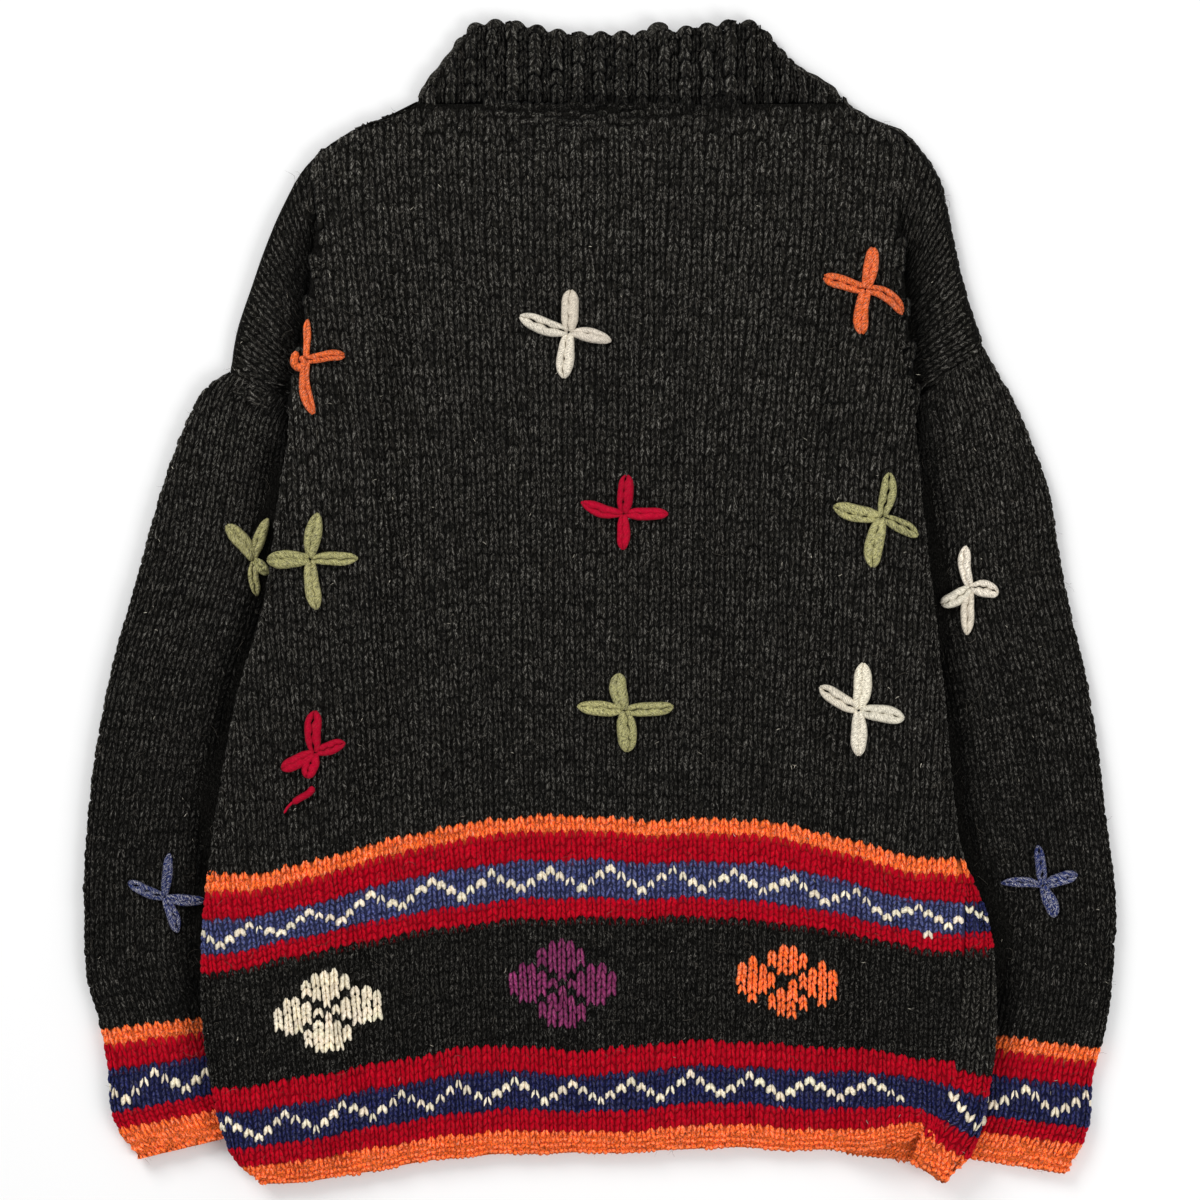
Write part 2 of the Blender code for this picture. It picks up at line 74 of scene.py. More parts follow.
def smoothStep(low, high, value):
    share = np.clip((value - low) / (high - low), 0.0, 1.0)
    return share * share * (3.0 - 2.0 * share)


def bell(value, width):
    return np.exp(-((value / width) ** 2))


def smoothLine(rows, steps=10):
    # a smooth curve through the rows of a table
    p = np.array(rows, float)
    ends = np.vstack([2 * p[0] - p[1], p, 2 * p[-1] - p[-2]])
    t = np.linspace(0, 1, steps, endpoint=False)[:, None]
    made = []
    for k in range(len(p) - 1):
        a, b, c, d = ends[k : k + 4]
        bend = (2 * a - 5 * b + 4 * c - d) * t**2 + (3 * b - a - 3 * c + d) * t**3
        made.append(0.5 * (2 * b + (c - a) * t + bend))
    return np.vstack(made + [p[-1:]])


def lengthAlong(line):
    return np.concatenate([[0], np.cumsum(np.linalg.norm(np.diff(line, axis=0), axis=1))])


def alongTable(table, key, value):
    # one column of a table as a smooth function of another
    dense = smoothLine(table)
    return lambda at: np.interp(at, dense[:, key], dense[:, value])


def readTable(table, at, column=1):
    # straight from row to row, by the first column
    rows = np.array(table, float)
    return np.interp(at, rows[:, 0], rows[:, column])


# where the body's edges, creases and shoulders lie
body = {
    # left x, left y, right x, right y, how far the front wraps onto the back at the right
    "edges": [(-222, -378.5, 226, -377, 25), (-239, -360, 242, -358, 31), (-249, -330, 250, -332, 25),
              (-258, -273, 257, -279, 25), (-258, -211, 253, -212, 17), (-251, -153, 233, -155, 0),
              (-236, -65, 223.5, -65, 0), (-218.5, -5, 216.5, -3, 0), (-208.5, 66, 208.5, 67, 0),
              (-202, 109, 205, 110, 0), (-200.5, 129, 204, 129, 0), (-192, 159, 199.5, 159, 0),
              (-187, 195, 196, 195, 0), (-183, 227, 194, 226, 0), (-181, 260, 192, 260, 0),
              (-180, 335, 191, 335, 0)],
    # outer edge of the shoulder flaps from the armhole seam up: left x, left y, right x, right y
    "flaps": [(-241, 149.5, 249, 166.5), (-236.5, 176, 243.5, 184), (-227.5, 203, 236.5, 207),
              (-218, 230, 231.5, 229), (-206.5, 257, 227, 251), (-191.5, 283, 219, 278),
              (-167, 303, 200, 303), (-140, 314.5, 177, 313.5), (-121, 323, 160.5, 323)],
    # course, height of its lower edge in the middle of the back
    "courses": [(0, -358.5), (4, -344.5), (7, -331), (13, -307.5), (16, -291), (33, -206), (36, -193),
                (42, -169), (46, -150.5), (48, -141), (70, -28), (90, 78), (134, 326), (136, 337.3)],
    # height, width of one wale there to the left and to the right of the middle
    "wales": [(-360, 6.1, 6.45), (-325, 6.16, 6.48), (-180, 6.5, 6.62), (94, 7.15, 7.15), (250, 7.9, 7.9),
              (330, 8.15, 8.15)],
    "middle": 0.6,  # x of wale 0
    # how far a course has slid up at these x, at the heights below
    "slideAt": [-250, -225, -200, -175, -150, -124, -98, -72, -46, -13, 26, 65, 104, 143, 172, 192, 207,
                225],
    "slides": [
        (-358, [-24, -22, -20, -18, -14, -9, -4, -2, -2, -2, 0, 2, 1, 1, 3, 6, 9, -2]),
        (-338, [-25, -23, -20, -17, -13, -8, -3, -1, -1, -2, 0, 4, 2, 0, 3, 4, 2, -8]),
        (-299, [-24, -22, -19, -16, -11, -6, -1, 1, -1, -2, 2, 4, 4, 1, 0, -2, -5, -6]),
        (-200, [-36, -33, -25, -20, -15, -11, -8, -4, 0, -1, -2, 1, -3, -9, -13, -17, -21, -22]),
        (-155, [-40, -38, -33, -26, -20, -13, -7, -1, 0, 0, -2, -1, -3, -10, -18, -24, -28, -29]),
    ],
    # height, what is left of the topmost of these
    "slideFades": [(-155, 1.0), (-44, 0.57), (10, 0.4), (76, 0.27), (114, 0.14), (150, 0.0)],
    # the same for the front, where it wraps round at the lower right
    "wrapAt": [200, 213, 222, 231, 240, 257],
    "wrapSlides": [
        (-358.5, [-6.5, -14, -18.5, -20, -20.5, -21]),
        (-344.5, [0, -4.5, -10.5, -15.5, -18.5, -19.5]),
        (-331, [0, -3, -7, -12, -16.5, -19.5]),
        (-307.5, [-6, -7, -8.5, -10, -13, -16]),
        (-291, [-8, -10, -12.5, -15, -16.5, -18.5]),
    ],
    "pinch": (207, -349),  # middle of the pinched fold at the hem's right end
    "pinchDepth": 6.0,
    "pinchWidth": 5.5,
    "curl": 4.0,  # how far the hem beside it curls up
    "curlAt": 185,
    "curlWidth": 24,
    # distance along a shoulder's edge, angle of the wale that starts there
    "fan": [(0, 29), (27, 38), (56, 47), (84, 57), (113, 68), (143, 80), (158, 87), (175, 90)],
    "fanCourse": 5.3,  # height of a course in that fan
    "fanWale": 8.6,  # width of a wale where the fan starts
    "fanWiden": 0.1,  # and half of how much wider each next one is
    "flapTop": 294,  # height where the flaps' stitches end
    "flapUnder": 5.5,  # how far their stitches go in under the body, and how far their plain cloth
    "flapClothUnder": 6.0,
    "flapCloth": (122.0, 296.0),  # heights where their plain cloth starts and ends
    "frontDrop": 8.5,  # how much lower the front's stripes lie at the right-hand seam
    "frontDown": (127.0, 95.0),  # heights between which the front comes up on to the sleeves
    "hemInside": 3.4,  # how far the lower layer's upper side lies over its under side
    "creaseOver": 3.5,  # how far the back's stitches go past the creases of the armholes
    "foldOver": 2.5,  # and past its left-hand fold
    "lensAt": -6,  # where the lens of purl rows under the collar starts lowest: x and height
    "lensLow": 305,
    "lensHalf": 78,  # how far from there to its ends, and how much higher they lie
    "lensRise": 13,
    "seamShade": 0.6,  # how much darker the neck seam is, and over what width
    "seamShadeWidth": 5.5,
}
leftEdge = alongTable(body["edges"], 1, 0)
rightEdge = alongTable(body["edges"], 3, 2)
wrapOf = alongTable(body["edges"], 3, 4)
flapLeft = alongTable(body["flaps"], 1, 0)
flapRight = alongTable(body["flaps"], 3, 2)
shoulderLeft = alongTable(body["flaps"], 0, 1)
shoulderRight = alongTable(body["flaps"][::-1], 2, 3)

# the sleeves, from the cuff up: outer x, outer y, inner x, inner y
sleeves = {
    "left": {
        "side": -1.0,
        "cuts": [(-301, -364, -191, -338), (-312, -348, -193, -324), (-318.5, -331, -195, -309),
                 (-321, -302, -196.5, -286), (-326.5, -273, -197, -260), (-334.5, -243, -197, -231),
                 (-336, -205, -196, -195), (-335.5, -169, -195, -162), (-331, -117, -191, -123),
                 (-323, -68, -186, -81), (-311.5, -20, -179, -42), (-299, 23, -172, 2),
                 (-288.5, 62, -174, 40), (-278, 94, -186, 72), (-267, 121, -198, 95),
                 (-257, 138, -201.5, 112), (-241.5, 149, -202, 129.5)],
        "courses": [(0, -360.5), (4, -340.7), (7, -330.5), (13, -303.3), (16, -287), (18, -277.5),
                    (99, 146)],
        "zigzagPeak": 5,
    },
    "right": {
        "side": 1.0,
        "cuts": [(304, -374, 194, -357), (313.5, -356, 196, -341), (319.5, -337, 197, -322),
                 (320.5, -312, 198.5, -299), (327, -289, 199, -273), (332.5, -260, 199, -244),
                 (335, -227, 199, -214), (336, -195, 197.5, -185), (331, -153, 195.5, -149),
                 (325, -104, 192, -114), (317, -52, 186, -78), (307, -10, 178, -26), (298.5, 32, 176, 14),
                 (294, 65, 182, 48), (283, 98, 196, 74), (268, 133, 203.5, 97), (260, 146, 205, 114),
                 (249, 166, 205.5, 129.5)],
        "courses": [(0, -371), (4, -352), (7, -341.3), (13, -314.3), (16, -298.3), (18, -289.5), (105, 160)],
        "zigzagPeak": 1,
    },
}
sleeveWale = 6.65
hiddenRows = 12  # cuts, from the cuff up, whose inner edge the body covers


def bodyEdge(side, y):
    # how far out the body's fold or crease lies on this side
    return -leftEdge(y) if side < 0 else rightEdge(y)


def flapEdge(side, y):
    return -flapLeft(y) if side < 0 else flapRight(y)


def overSleeves(x, y):
    # 1 where the body lies on a sleeve, falling to 0 past the sleeve's edge and its cuff
    covered = 0.0
    for part in sleeves.values():
        cuts, side = np.array(part["cuts"]), part["side"]
        inner = np.interp(y, cuts[:hiddenRows, 3], cuts[:hiddenRows, 2])
        outerX, outerY, innerX, innerY = cuts[0]
        cuff = outerY + (innerY - outerY) / (innerX - outerX) * (x - outerX)
        on = smoothStep(inner - side * cloth["drapeEnd"], inner - side * cloth["drapeStart"], x)
        covered = np.maximum(covered, on * smoothStep(cloth["hemFall"], cloth["cuffStart"], cuff - y))
    return covered


def turn(run):
    # how far in and how far above the fold's middle a point lies this far round the fold
    angle = np.clip(run / fold, -math.pi / 2, math.pi / 2)
    beyond = np.maximum(np.abs(run) - quarter, 0.0)
    return fold * (1 - np.cos(angle)) + beyond, fold * np.sin(angle)


def atNeck(x):
    return (x > cloth["neckLeft"]) & (x < cloth["neckRight"])


def shoulderHeight(x):
    return np.where(x < 0, shoulderLeft(x), shoulderRight(x))


def shoulderDistance(x, y):
    # how far a point is inside the shoulders' sloping outline, and that outline's slope
    height = shoulderHeight(x)
    slope = shoulderHeight(x + 1.0) - height
    distance = np.where(atNeck(x), 99.0, (height - y) / np.sqrt(1 + slope**2))
    return distance, np.where(atNeck(x), 0.0, slope)


def creaseAt(side, out, y, width):
    # 1 at the body's edge, fading outwards over this width
    return bell(np.maximum(out - bodyEdge(side, y), 0.0), width)


def roundedShoulder(x, y, z):
    # lets the cloth turn over at the shoulders
    distance, slope = shoulderDistance(x, y)
    inset, rise = turn(distance + slack)
    near = distance < fold
    shift = np.where(near, inset - distance, 0.0)
    norm = np.sqrt(1 + slope**2)
    return x + shift * slope / norm, y - shift / norm, z - np.where(near, fold - rise, 0.0)


def bodyRelief(x, y):
    # soft swells and troughs of cloth that has been laid down by hand
    swell = 1.3 * np.sin(x / 46 + 0.8 * np.sin(y / 70)) * np.sin(y / 58 + 0.6)
    swell += 0.7 * np.sin(x / 23 + y / 41 + 1.7)
    # and a pinched fold at the hem, three times as long as it is wide
    across, along = x - body["pinch"][0], y - body["pinch"][1]
    away = np.hypot(across * 0.83 + along * 0.55, (along * 0.83 - across * 0.55) * 0.3)
    pinch = body["pinchDepth"] * bell(away, body["pinchWidth"]) * smoothStep(-322, -340, y)
    curl = body["curl"] * bell(x - body["curlAt"], body["curlWidth"]) * smoothStep(-325, -355, y)
    return swell * smoothStep(-372, -330, y) + curl - pinch


def atNape(x):
    return bell(x - cloth["nape"], cloth["napeWidth"])


def bodySurface(x, y):
    left, right = leftEdge(y), rightEdge(y)
    fromLeft = (x - left) < (right - x)
    inward = np.where(fromLeft, x - left, right - x)
    inset, rise = turn(inward + slack)
    opened = smoothStep(cloth["armhole"] - 12, cloth["armhole"], y)
    used = inset * (1 - opened) + inward * opened
    px = np.where(fromLeft, left + used, right - used)
    rest = cloth["lift"] * overSleeves(px, y) * smoothStep(cloth["backLow"], cloth["backHigh"], y)
    share = np.clip(inward / cloth["step"], 0.0, 1.0)
    stepped = thick + rest * np.sqrt(1 - (1 - share) ** 2)
    z = (rest + fold + rise) * (1 - opened) + stepped * opened
    z = z + bodyRelief(px, y) * smoothStep(0.0, 30.0, inward) * smoothStep(330, 250, y)
    # a low ridge runs along the sides
    ridge = smoothStep(-2.0, 9.0, inward) * smoothStep(44.0, 12.0, inward) * smoothStep(260, 150, y)
    z = z + cloth["ridge"] * ridge * smoothStep(-340, -260, y)
    # the cloth sinks to the seam under the collar, most in the middle
    seam = cloth["seamDip"] * atNape(px) * smoothStep(10.0, 0.0, cloth["neck"] - y)
    return roundedShoulder(px, y, z - seam)


def flapSurface(side):
    def surface(x, y):
        out = side * x
        edge = flapEdge(side, y)
        lean = np.sqrt(1 + (flapEdge(side, y + 1.0) - edge) ** 2)
        distance = (edge - out) / lean
        inset, rise = turn(distance + slack)
        near = distance < fold
        out = np.where(near, edge - inset * lean, out)
        valley = creaseAt(side, out, y, 14.0) * smoothStep(285, 225, y)
        z = thick - np.where(near, fold - rise, 0.0) - cloth["valley"] * valley
        return side * out, y + 0 * x, z + 0.8 * np.sin(x / 17 + y / 29)

    return surface


# the courses and wales of each part, as places in plan: a counts wales and b counts courses
def courseHeight(b, rows=body["courses"]):
    return readTable(rows, b) + np.minimum(b, 0) * cloth["firstRow"]


def slidAt(rows, places, x, y):
    # each row holds a height and what is read there at these places: read at x, then between rows at y
    x, y = np.broadcast_arrays(x, y)
    heights = [row[0] for row in rows]
    at = np.clip(np.interp(y, heights, np.arange(len(rows))), 0, len(rows) - 1.001)
    read = np.stack([np.interp(x, places, row[1]) for row in rows])
    lower = at.astype(int)
    below, above = (np.take_along_axis(read, lower[None] + k, 0)[0] for k in (0, 1))
    return below + (above - below) * (at - lower)


def archAt(x, y):
    slid = slidAt(body["slides"], body["slideAt"], x, y) * readTable(body["slideFades"], y)
    wave = 0.7 * np.sin(x / 19 + y / 37) + 0.5 * np.sin(x / 8.3 - y / 23)
    return slid + wave * smoothStep(330, 300, y)


def bodyPlan(a, b):
    y = courseHeight(b)
    width = np.where(a < 0, readTable(body["wales"], y, 1), readTable(body["wales"], y, 2))
    x = body["middle"] + a * width + 0.5 * np.sin(y / 21 + a * 1.3) + 0.35 * np.sin(y / 9.5 + a * 2.1)
    return x, y + archAt(x, y)


def flapPlan(side):
    # wales fan out from the armhole seam, where they lie low, to upright at the shoulder
    line = smoothLine([(-r[0], r[1]) if side < 0 else (r[2], r[3]) for r in body["flaps"]])
    length = lengthAlong(line)
    arcs, angles = np.array(body["fan"]).T

    def plan(a, b):
        arc = a * body["fanWale"] + body["fanWiden"] * a**2
        before = np.minimum(arc, 0.0)
        out = np.interp(arc, length, line[:, 0]) - 0.3 * before
        up = np.interp(arc, length, line[:, 1]) + 0.95 * before
        angle = np.interp(arc, arcs, np.radians(angles))
        reach = b * body["fanCourse"] - 0.8
        return side * (out - np.cos(angle) * reach), up - np.sin(angle) * reach

    return plan


class Tube:
    # a flattened tube of cloth: at each course a cut from one fold to the other
    def __init__(self, cut, relief, rest=None, bend=None):
        self.cut, self.relief, self.rest, self.bend = cut, relief, rest, bend

    def girth(self, b):
        startX, startY, endX, endY = self.cut(b)
        return np.hypot(endX - startX, endY - startY) + 2 * slack

    def surface(self, s, b):
        # s runs round the tube from the first fold: over the top to the other fold, then underneath
        startX, startY, endX, endY = self.cut(b)
        width = np.hypot(endX - startX, endY - startY)
        full = width + 2 * slack
        s = np.mod(s + full / 2, 2 * full) - full / 2
        fromStart = s < full / 2
        inset, rise = turn(np.where(fromStart, s, full - s))
        inset = np.minimum(inset, width / 2)
        share = np.where(fromStart, inset, width - inset) / width
        x = startX + (endX - startX) * share
        y = startY + (endY - startY) * share
        if self.bend is not None:
            y = self.bend(x, y, share, b)
        on = smoothStep(0.0, 26.0, inset) * (rise > 0)
        z = fold + rise + on * self.relief(x, y)
        # underneath, the yarn's thickness is taken from the cloth, which rests on the surface
        z = z + np.maximum(-rise / fold, 0.0)
        return (x, y, z) if self.rest is None else (x, y, z + self.rest(x, y))


def sleeveTube(part):
    cuts = smoothLine(part["cuts"])
    heights = cuts[:, 1] * 0.85 + cuts[:, 3] * 0.15

    def cut(b):
        y = courseHeight(b, part["courses"])
        return [np.interp(y, heights, cuts[:, k]) for k in range(4)]

    def relief(x, y):
        beside = part["side"] * x - bodyEdge(part["side"], y)
        valley = cloth["valley"] * bell(beside, 16.0) * smoothStep(-330, -250, y)
        return 1.5 * np.sin(y / 33 + x / 61) + 1.0 * np.sin(y / 15 + x / 21) - valley - 1.0

    return Tube(cut, relief)


def frontEdge(side, y):
    # below the armhole the side fold, then the armhole seam, then the shoulder
    edge, flap = bodyEdge(side, y), flapEdge(side, y)
    corner = body["flaps"][0][1] if side < 0 else body["flaps"][0][3]
    return np.where(y < corner, edge + (flap - edge) * smoothStep(cloth["armhole"], corner, y), flap)


def frontRest(x, y):
    return cloth["lift"] * overSleeves(x, y) * smoothStep(*body["frontDown"], y)


def frontArch(x, y):
    # its stripes lie lower than the back's at the right-hand seam
    lower = body["frontDrop"] * smoothStep(120, 225, x) * smoothStep(-225, -290, y)
    share = smoothStep(150, 200, x) * smoothStep(-262, -291, y)
    wrapped = slidAt(body["wrapSlides"], body["wrapAt"], x, y)
    return (archAt(x, y) - lower) * (1 - share) + wrapped * share


def frontCut(b):
    y = courseHeight(b)
    low, high = y, y
    for _ in range(3):
        low = y + frontArch(-frontEdge(-1, low), y)
        high = y + frontArch(frontEdge(1, high), y)
    return [frontEdge(1, high), high, -frontEdge(-1, low), low]


def frontBend(x, y, share, b):
    rows = courseHeight(b)
    return rows + frontArch(x, rows) + 1.5 * smoothStep(0.0, 0.06, share)


collar = {
    # its outline from the neck up: left x, left y, right x, right y, how far the middle lies lower
    "rows": [(-121, 323.3, 160.5, 323.3, 0), (-112.5, 338, 149, 337.5, 1.75),
             (-102, 351, 128.5, 348.5, 2.25), (-92, 364.5, 115, 363, 4.25), (-83, 377.3, 106.5, 375.5, 5.4)],
    "courses": 9,
    # x of each rib, from the left
    "ribs": [-124, -110, -97, -84, -70.5, -57.5, -42, -28, -14, -0.5, 14, 28, 41.5, 55.5, 69.5, 85.5,
             98.5, 109.5, 120.5, 132, 144.5, 158],
    # line of its top edge and of the seam at its foot
    "top": [(-130, 377), (-97, 376), (-84, 374.5), (-76, 377), (-70.5, 377.5), (-57.5, 377), (-42, 374.2),
            (-28, 371.3), (-14, 369.6), (0, 369.7), (14, 370), (28, 370.3), (47.5, 372), (58.5, 374.2),
            (71.5, 376), (86, 378), (98, 376.5), (160, 376)],
    "foot": [(-125, 320.5), (-102, 323.5), (-65, 325), (-45, 325.6), (-26, 323.7), (0, 322.4), (32, 321.8),
             (65, 322), (97, 323), (123, 324), (145, 323), (162, 320.5)],
    "rib": 1.2,  # how far a rib stands above and a groove below
    # the bound-off edge up its left side and down its right one, and a loop of yarn that stands out of it
    "edgeUp": [(-117.5, 327), (-111, 337), (-101, 349.5), (-91, 362.5), (-82, 372)],
    "edgeDown": [(101, 373), (112, 361.5), (125.5, 347.5), (146, 336), (156, 327.5)],
    "knob": [(33, 366), (34, 370.5), (37, 373), (41, 372.6), (43.5, 368.5)],
    "swell": 13.9,  # distance from one swelling of that edge to the next
    "edgeSize": (2.5, 3.4),  # its half width and half height
    "edgeHeight": 5.6,  # height of its middle, and of the loop's
    "knobHeight": 7.5,
    "knobHalf": 3.5,
    "sink": 2.0,  # how far its foot comes down to the seam, and how much more in the middle
    "napeSink": 2.6,
    "clothTop": 8.35,  # course where its plain cloth ends
    "tuck": 5.0,  # how deep its top row turns in under the bound-off edge, and over what height
    "tuckHeight": 6.0,
}
collarTable = np.array(collar["rows"])


def collarEdges(y):
    left = np.interp(y, collarTable[:, 1], collarTable[:, 0])
    return left, np.interp(y, collarTable[:, 3], collarTable[:, 2])


def collarRead(b, column):
    # its outline's rows are spread evenly over its courses
    last = len(collarTable) - 1
    return np.interp(b / collar["courses"] * last, range(last + 1), collarTable[:, column])


def collarCut(b):
    return [collarRead(b, column) for column in range(4)]


def collarBend(x, y, share, b):
    dip = smoothStep(0.04, 0.4, share) * smoothStep(0.97, 0.62, share)
    return y - collarRead(b, 4) * dip


def collarPlan(a, b):
    # even wales are ribs and odd ones the grooves between them
    nearest = np.round(a / 2)
    beside = a / 2 - nearest
    beside = np.sign(beside) * np.interp(np.abs(beside), [0, 0.25, 0.5], [0, 0.34, 0.5])
    ribs = collar["ribs"]
    x = np.interp(nearest + beside, range(len(ribs)), ribs) + 0.3 * np.sin(b * 1.7 + a)
    foot = readTable(collar["foot"], x)
    top = readTable(collar["top"], x) - 1.0 * (1 - np.cos(2 * math.pi * beside))
    return x, foot + (top - foot) * np.minimum(b / collar["courses"], 0.975)


def collarFoot(x, y):
    # how far it comes down to the seam
    sink = collar["sink"] + collar["napeSink"] * atNape(x)
    return sink * smoothStep(8.0, 0.0, y - readTable(collar["foot"], x))


def collarSurface(x, y):
    left, right = collarEdges(y)
    leftNext, rightNext = collarEdges(y + 1.0)
    fromLeft = (x - left) < (right - x)
    lean = np.sqrt(1 + np.where(fromLeft, leftNext - left, rightNext - right) ** 2)
    distance = np.where(fromLeft, x - left, right - x) / lean
    inset, rise = turn(distance + slack)
    near = distance < fold
    px = np.where(near & fromLeft, left + inset * lean, np.where(near, right - inset * lean, x))
    nearest = np.interp(x, collar["ribs"], range(len(collar["ribs"])))
    wave = collar["rib"] * np.cos(2 * math.pi * nearest) * smoothStep(0, 6, distance)
    tuck = np.clip(1 - (readTable(collar["top"], x) - y) / collar["tuckHeight"], 0.0, 1.0)
    z = thick - np.where(near, fold - rise, 0.0) + wave - collar["tuck"] * (1 - np.sqrt(1 - tuck**2))
    return px, y + 0 * x, z - collarFoot(x, y)


# the plain cloth that stands for each solid
standsFor = {"backCloth": "back", "frontCloth": "front", "sleeveLeftCloth": "sleeve_left",
             "sleeveRightCloth": "sleeve_right", "collarCloth": "collar"}
cloths = {}
sewn = {node: [] for node in standsFor.values()}  # what is knitted or sewn on each


def addPiece(name, node, material, points, triangles, colours, fibre, uv=None):
    # colours hold red, green, blue and how much the undyed fibres show
    mesh = bpy.data.meshes.new(name)
    mesh.vertices.add(len(points))
    # nothing sinks below the surface that it all rests on
    resting = np.column_stack([points[:, :2], np.maximum(points[:, 2], 0.0)])
    mesh.vertices.foreach_set("co", (resting * mm).astype(np.float32).ravel())
    mesh.loops.add(triangles.size)
    mesh.loops.foreach_set("vertex_index", triangles.astype(np.int32).ravel())
    mesh.polygons.add(len(triangles))
    mesh.polygons.foreach_set("loop_start", np.arange(0, triangles.size, 3, dtype=np.int32))
    mesh.update(calc_edges=True)
    yarn = mesh.attributes.new("yarn", "FLOAT_COLOR", "POINT")
    yarn.data.foreach_set("color", colours.astype(np.float32).ravel())
    strand = mesh.attributes.new("fibre", "FLOAT_VECTOR", "POINT")
    strand.data.foreach_set("vector", fibre.astype(np.float32).ravel())
    if uv is not None:
        layer = mesh.uv_layers.new(name="OFBake")
        layer.data.foreach_set("uv", uv.astype(np.float32).ravel())
    mesh.shade_smooth()
    mesh.materials.append(material)
    piece = bpy.data.objects.new(name, mesh)
    bpy.context.scene.collection.objects.link(piece)
    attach(piece, "root")
    if name in standsFor:
        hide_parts(node)
        cloths[node] = piece
    else:
        sewn[node].append(piece)


def gridTriangles(rows, columns, around=False, flip=False):
    r, c = np.meshgrid(np.arange(rows - 1), np.arange(columns if around else columns - 1), indexing="ij")
    here, beside = r * columns + c, r * columns + (c + 1) % columns
    above, across = here + columns, beside + columns
    quads = np.stack([here, beside, across, above], axis=-1).reshape(-1, 4)
    if flip:
        quads = quads[:, ::-1]
    return np.vstack([quads[:, [0, 1, 2]], quads[:, [0, 2, 3]]])


def surfaceNormals(surface, p, q, step=0.6):
    # position and outward direction of a surface at each parameter pair
    here = np.stack(surface(p, q), axis=-1)
    du = np.stack(surface(p + step, q), axis=-1) - np.stack(surface(p - step, q), axis=-1)
    dv = np.stack(surface(p, q + step), axis=-1) - np.stack(surface(p, q - step), axis=-1)
    normal = np.cross(du, dv)
    length = np.linalg.norm(normal, axis=-1, keepdims=True)
    return here, normal / np.maximum(length, 1e-9)


def clothPiece(name, node, points, normals, yarn, thickness, around=False, flip=False,
               depth=cloth["backing"]):
    # a closed wall of plain cloth, this deep under one grid of points
    rows, columns = points.shape[:2]
    count = rows * columns
    top = points - normals * depth
    walls = np.concatenate([top.reshape(-1, 3), (top - normals * thickness).reshape(-1, 3)])
    under = gridTriangles(rows, columns, around, not flip) + count
    faces = [gridTriangles(rows, columns, around, flip), under]
    index = np.arange(count).reshape(rows, columns)
    lines = [index[0][::-1], index[-1]]
    if around:
        lines = [np.append(line, line[0]) for line in lines]
    else:
        lines += [index[:, 0], index[:, -1][::-1]]
    for line in lines:
        a, b = line[:-1], line[1:]
        rim = np.vstack([np.stack([a, b, b + count], 1), np.stack([a, b + count, a + count], 1)])
        faces.append(rim[:, ::-1] if flip else rim)
    # painted shade: it is coloured darker than the stitches on it, standing in for the shade in the gaps
    # between them
    share = np.select([yarn == charcoal, yarn == yarnIndex["orange"]], [0.3, 0.65], 0.5)[:, None]
    colours = yarnTable[yarn] * np.hstack([share, share, share, 0.5 * share])
    addPiece(name, node, backingWool, walls, np.vstack(faces), np.vstack([colours, colours]), walls)


print("cloth surfaces ready")

# yarn colours
yarns = {
    # sRGB, and how much its paler fibres show
    "charcoal": ("#161512", 0.35),
    "orange": ("#ee6a2c", 0.75),
    "red": ("#b2001c", 0.05),
    "denim": ("#393f68", 0.25),
    "navy": ("#1d2149", 0.2),
    "cream": ("#ebdfc7", 0.08),
    "plum": ("#762b55", 0.15),
    # the thicker yarns of the crosses
    "crimson": ("#a60527", 0.05),
    "white": ("#cec6b5", 0.12),
    "tangerine": ("#c95a28", 0.55),
    "sage": ("#8e8a5d", 0.45),
    "blue": ("#242d58", 1.7),
    "hair": ("#5b564e", 0.0),
    "paleHair": ("#c9c2b2", 0.0),
}


def linear(code):
    parts = [int(code[k : k + 2], 16) / 255 for k in (1, 3, 5)]
    return np.array([c / 12.92 if c <= 0.04045 else ((c + 0.055) / 1.055) ** 2.4 for c in parts])


yarnTable = np.array([[*linear(code), pale] for code, pale in yarns.values()])
yarnIndex = {name: k for k, name in enumerate(yarns)}
charcoal, cream = yarnIndex["charcoal"], yarnIndex["cream"]

bands = {
    # first course of each band
    "body": [(-9, "orange"), (4, "red"), (7, "navy"), (13, "red"), (16, "charcoal"), (33, "red"),
             (36, "denim"), (42, "red"), (46, "orange"), (48, "charcoal")],
    "sleeve": [(-9, "orange"), (4, "red"), (7, "navy"), (13, "red"), (16, "orange"), (18, "charcoal")],
    "collar": [(-9, "charcoal")],
}
# four-petal flower, one letter a stitch
flower = [
    "....XXX....",
    "...XXXXX...",
    "...XXXXX...",
    ".XX.XXX.XX.",
    "XXXX.X.XXXX",
    "XXXXX.XXXXX",
    "XXXX.X.XXXX",
    ".XX.XXX.XX.",
    "...XXXXX...",
    "...XXXXX...",
    "....XXX....",
]
smallFlower = [
    "....XX....",
    "...XXXX...",
    ".X.XXXX.X.",
    "XXX.XX.XXX",
    "XXXX..XXXX",
    "XXXX.XXXXX",
    "XXX.XX.XXX",
    ".X.XXXX.X.",
    "...XXXX...",
    "....XX....",
]
# wale and course of the middle, yarn, pattern
flowers = [(-28, 24, "cream", flower), (-4, 24, "plum", flower), (19, 24, "orange", smallFlower)]
lowZigzag, highZigzag = 8, 37  # first course of each


def bandYarn(b, band):
    starts = np.array([row[0] for row in bands[band]])
    names = np.array([yarnIndex[row[1]] for row in bands[band]])
    return names[np.clip(np.searchsorted(starts, b + 1e-6, side="right") - 1, 0, len(names) - 1)]


def onZigzag(a, b, first, peak):
    # 3 courses high and 6 stitches long
    return b - first == 3 - np.abs(np.mod(a - peak + 3, 6) - 3)


